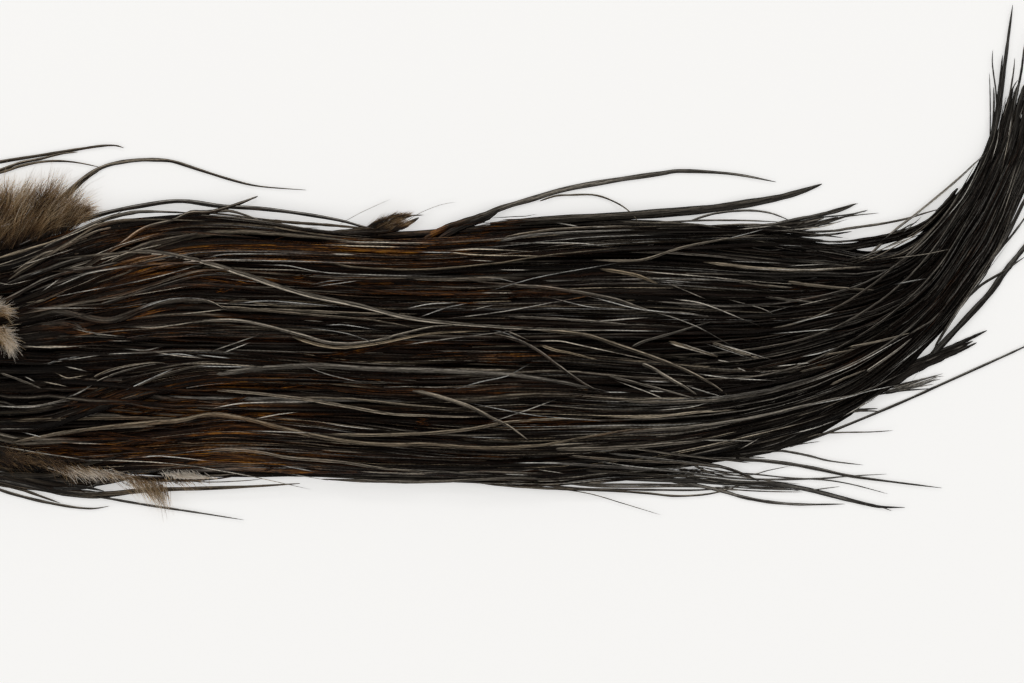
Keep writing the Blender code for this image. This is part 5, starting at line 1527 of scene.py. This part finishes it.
# Layers of the spread above the lowest: feathers, rings, stations of the roots and of the tips, widths in
# millimetres, and the share of the spread's width that stays free along its edges
UPPER_LAYERS = (
    (180, 26, (2, 4.5), (16, 23), (1.0, 2.3), 0.03),
    (210, 23, (1, 3.5), (11, 18), (0.9, 2.2), 0.05),
    (112, 17, (0, 3.5), (4.0, 8.5), (1.2, 2.6), 0.04),
)

# How many feathers cover the skin, and how many strands lie on the sweep
COVER_COUNT = 130
SWEEP_COUNT = 230

# Rings of each kind of feather and strand, more where they bend
LONG_RINGS = 30
COVER_RINGS = 9
STREAM_RINGS = 27
SINGLE_RINGS = 36
STRAND_RINGS = 16
FIELD_RINGS = 14
LOOSE_RINGS = 50
WISP_RINGS = 28


class HACKLE_OT_spread(Operator):
    """Builds the four layers of feathers of the spread, and the short ones that cover the skin"""
    bl_idname = "hackle.spread"
    bl_label = "Spread"

    def execute(self, context):
        settings = context.scene.hackle_feathers
        rng = np.random.default_rng(settings.seed)
        material = vane_material(settings)
        widths = [width / MM for width in settings.long_widths]
        lowest = (settings.long_count, LONG_RINGS, (3, 5), (21, 26), widths, 0.0)
        for level, layer in enumerate((lowest, *UPPER_LAYERS)):
            piece = feather_piece(f"spread_layer_{level + 1}", bed_feathers(rng, level, *layer), material)
            hand_over(piece, "black_feather", *nodes_like(f"hackle_lock_{level + 1}_"))
        cover = cover_feathers(rng, COVER_COUNT, COVER_RINGS)
        hand_over(feather_piece("skin_cover", cover, material), "dark_brown_feather")
        return {"FINISHED"}


class HACKLE_OT_streams(Operator):
    """Builds the streams of feathers on top of the spread, the single ones and the thin strands"""
    bl_idname = "hackle.streams"
    bl_label = "Streams"

    def execute(self, context):
        settings = context.scene.hackle_feathers
        rng = np.random.default_rng(settings.seed + 1)
        material = vane_material(settings)
        streams = join_feathers([stream_feathers(rng, stream, STREAM_RINGS) for stream in STREAMS])
        hand_over(feather_piece("top_streams", streams, material), "dark_brown_feather")
        single = single_feathers(rng, SINGLE, SINGLE_RINGS)
        hand_over(feather_piece("single_feathers", single, material), "dark_brown_feather")
        strands = [stream_strands(rng, stream, STRAND_RINGS) for stream in STREAMS]
        strands.append(line_strands(rng, THIN_LINES, STRAND_RINGS, (0.7, 1.0), (0.0, 0.45), 1.45))
        strands.append(line_strands(rng, BROWN_EDGES, STRAND_RINGS, (0.3, 0.6), (0.9, 1.0), 1.0))
        strands.append(sweep_strands(rng, SWEEP_COUNT, STRAND_RINGS))
        hand_over(strand_piece("thin_strands", join_feathers(strands), material), "dark_brown_feather")
        fields = barb_fields(rng, ORANGE_LINES, FIELD_RINGS)
        hand_over(strand_piece("split_barbs", fields, material), "dark_brown_feather")
        return {"FINISHED"}


class HACKLE_OT_loose(Operator):
    """Builds the loose feathers and thin strands that lie beside the spread"""
    bl_idname = "hackle.loose"
    bl_label = "Loose feathers"

    def execute(self, context):
        settings = context.scene.hackle_feathers
        rng = np.random.default_rng(settings.seed + 2)
        material = vane_material(settings)
        loose = loose_feathers(rng, list(LOOSE.values()), LOOSE_RINGS)
        hand_over(feather_piece("loose_feathers", loose, material), "black_feather", *LOOSE)
        wisps = loose_feathers(rng, WISPS, WISP_RINGS)
        hand_over(feather_piece("loose_wisps", wisps, material), "black_feather")
        return {"FINISHED"}


class HACKLE_OT_down(Operator):
    """Builds the down beside the skin and the ragged barbs of single feathers"""
    bl_idname = "hackle.down"
    bl_label = "Down"

    def execute(self, context):
        settings = context.scene.hackle_feathers
        rng = np.random.default_rng(settings.seed + 3)
        soft = down_material("soft_down", settings.down_tips)
        banks = [down_bank(rng, *bank) for bank in DOWN.values()]
        hand_over(barb_piece("down", banks, soft), "grey_brown_down",
                  "down_tuft_flank", "down_tuft_end", "down_tuft_plume")
        banks = [down_bank(rng, *bank) for bank in DARK_BARBS.values()]
        hand_over(barb_piece("ragged_barbs", banks, soft), "black_feather")
        banks = [down_bank(rng, *bank) for bank in FAR_DOWN.values()]
        hand_over(barb_piece("far_down", banks, soft), "grey_brown_down")
        return {"FINISHED"}


class HACKLE_OT_skin(Operator):
    """Gives the skin its dried hide"""
    bl_idname = "hackle.skin"
    bl_label = "Skin"

    def execute(self, context):
        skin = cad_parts["skin"]
        skin.data.materials.clear()
        skin.data.materials.append(skin_material())
        return {"FINISHED"}


def add_floor(settings):
    """The floor: matt white paper, an even ground with no glints, whose glow thins the shadows."""
    bpy.ops.mesh.primitive_plane_add(size=FLOOR_SIZE, location=(*CAMERA_CENTRE, FLOOR_LEVEL))
    floor = bpy.context.object
    floor.name = "floor"
    material, _, shader = new_material("matt_paper", 0.95, 1.45)
    shader.inputs["Base Color"].default_value = (*settings.floor, 1.0)
    shader.inputs["Specular IOR Level"].default_value = 0.0
    shader.inputs["Emission Color"].default_value = (*settings.floor, 1.0)
    shader.inputs["Emission Strength"].default_value = settings.glow
    floor.data.materials.append(material)
    return floor


def studio_world(sky):
    """White light from all around, weak straight above, so that the tops of feathers stay dark."""
    world = bpy.data.worlds.new("studio")
    world.use_nodes = True
    tree = world.node_tree
    background = tree.nodes["Background"]
    background.inputs["Color"].default_value = (1.0, 1.0, 1.0, 1.0)
    ray = add_node(tree, "TexCoord")
    parts = add_node(tree, "SeparateXYZ", links={0: ray.outputs["Generated"]})
    tent = add_node(tree, "MapRange",
                    {"From Min": 0.72, "From Max": 0.95, "To Min": sky, "To Max": 0.12 * sky},
                    {"Value": parts.outputs["Z"]})
    tree.links.new(tent.outputs[0], background.inputs["Strength"])
    return world


def add_lamp(scene, name, place, size, power):
    """A soft box at a place from the frame's centre, turned to that centre."""
    light = bpy.data.lights.new(name, "AREA")
    light.shape = "RECTANGLE"
    light.size, light.size_y = size
    light.energy = power
    lamp = bpy.data.objects.new(name, light)
    lamp.location = (CAMERA_CENTRE[0] + place[0], CAMERA_CENTRE[1] + place[1], place[2])
    lamp.rotation_euler = (-Vector(place)).to_track_quat("-Z", "Y").to_euler()
    scene.collection.objects.link(lamp)


def add_camera(scene):
    """The photograph's camera, which looks straight down."""
    camera = bpy.data.cameras.new("camera")
    camera.lens = LENS_MM
    camera.sensor_width = SENSOR_MM
    camera.clip_start = 0.05
    eye = bpy.data.objects.new("camera", camera)
    eye.location = (*CAMERA_CENTRE, CAMERA_HEIGHT)
    scene.collection.objects.link(eye)
    return eye


class HACKLE_OT_stage(Operator):
    """Sets the floor, the lights, the world and the camera"""
    bl_idname = "hackle.stage"
    bl_label = "Stage"

    def execute(self, context):
        scene = context.scene
        settings = scene.hackle_stage
        floor = add_floor(settings)
        scene.world = studio_world(settings.sky)
        for name, (place, size, share) in LIGHTS.items():
            add_lamp(scene, name, place, size, settings.key_power * share)
        scene.camera = add_camera(scene)
        scene.view_settings.view_transform = "Standard"
        return {"FINISHED"}


class HACKLE_PT_panel(Panel):
    """Lists the pieces of the hackle and their settings"""
    bl_label = "Saddle hackle"
    bl_idname = "HACKLE_PT_panel"
    bl_space_type = "VIEW_3D"
    bl_region_type = "UI"
    bl_category = "Hackle"

    def draw(self, context):
        for group in (context.scene.hackle_feathers, context.scene.hackle_stage):
            for name in group.__annotations__:
                self.layout.prop(group, name)
        for operator in OPERATORS:
            self.layout.operator(operator.bl_idname)


OPERATORS = (HACKLE_OT_spread, HACKLE_OT_streams, HACKLE_OT_loose, HACKLE_OT_down, HACKLE_OT_skin,
             HACKLE_OT_stage)
CLASSES = (HackleFeathers, HackleStage) + OPERATORS + (HACKLE_PT_panel,)


def register():
    for kind in CLASSES:
        bpy.utils.register_class(kind)
    bpy.types.Scene.hackle_feathers = PointerProperty(type=HackleFeathers)
    bpy.types.Scene.hackle_stage = PointerProperty(type=HackleStage)


def unregister():
    del bpy.types.Scene.hackle_feathers
    del bpy.types.Scene.hackle_stage
    for kind in reversed(CLASSES):
        bpy.utils.unregister_class(kind)


def main():
    register()
    bpy.ops.hackle.spread()
    bpy.ops.hackle.streams()
    bpy.ops.hackle.loose()
    bpy.ops.hackle.down()
    bpy.ops.hackle.skin()
    bpy.ops.hackle.stage()


if __name__ == "__main__":
    main()
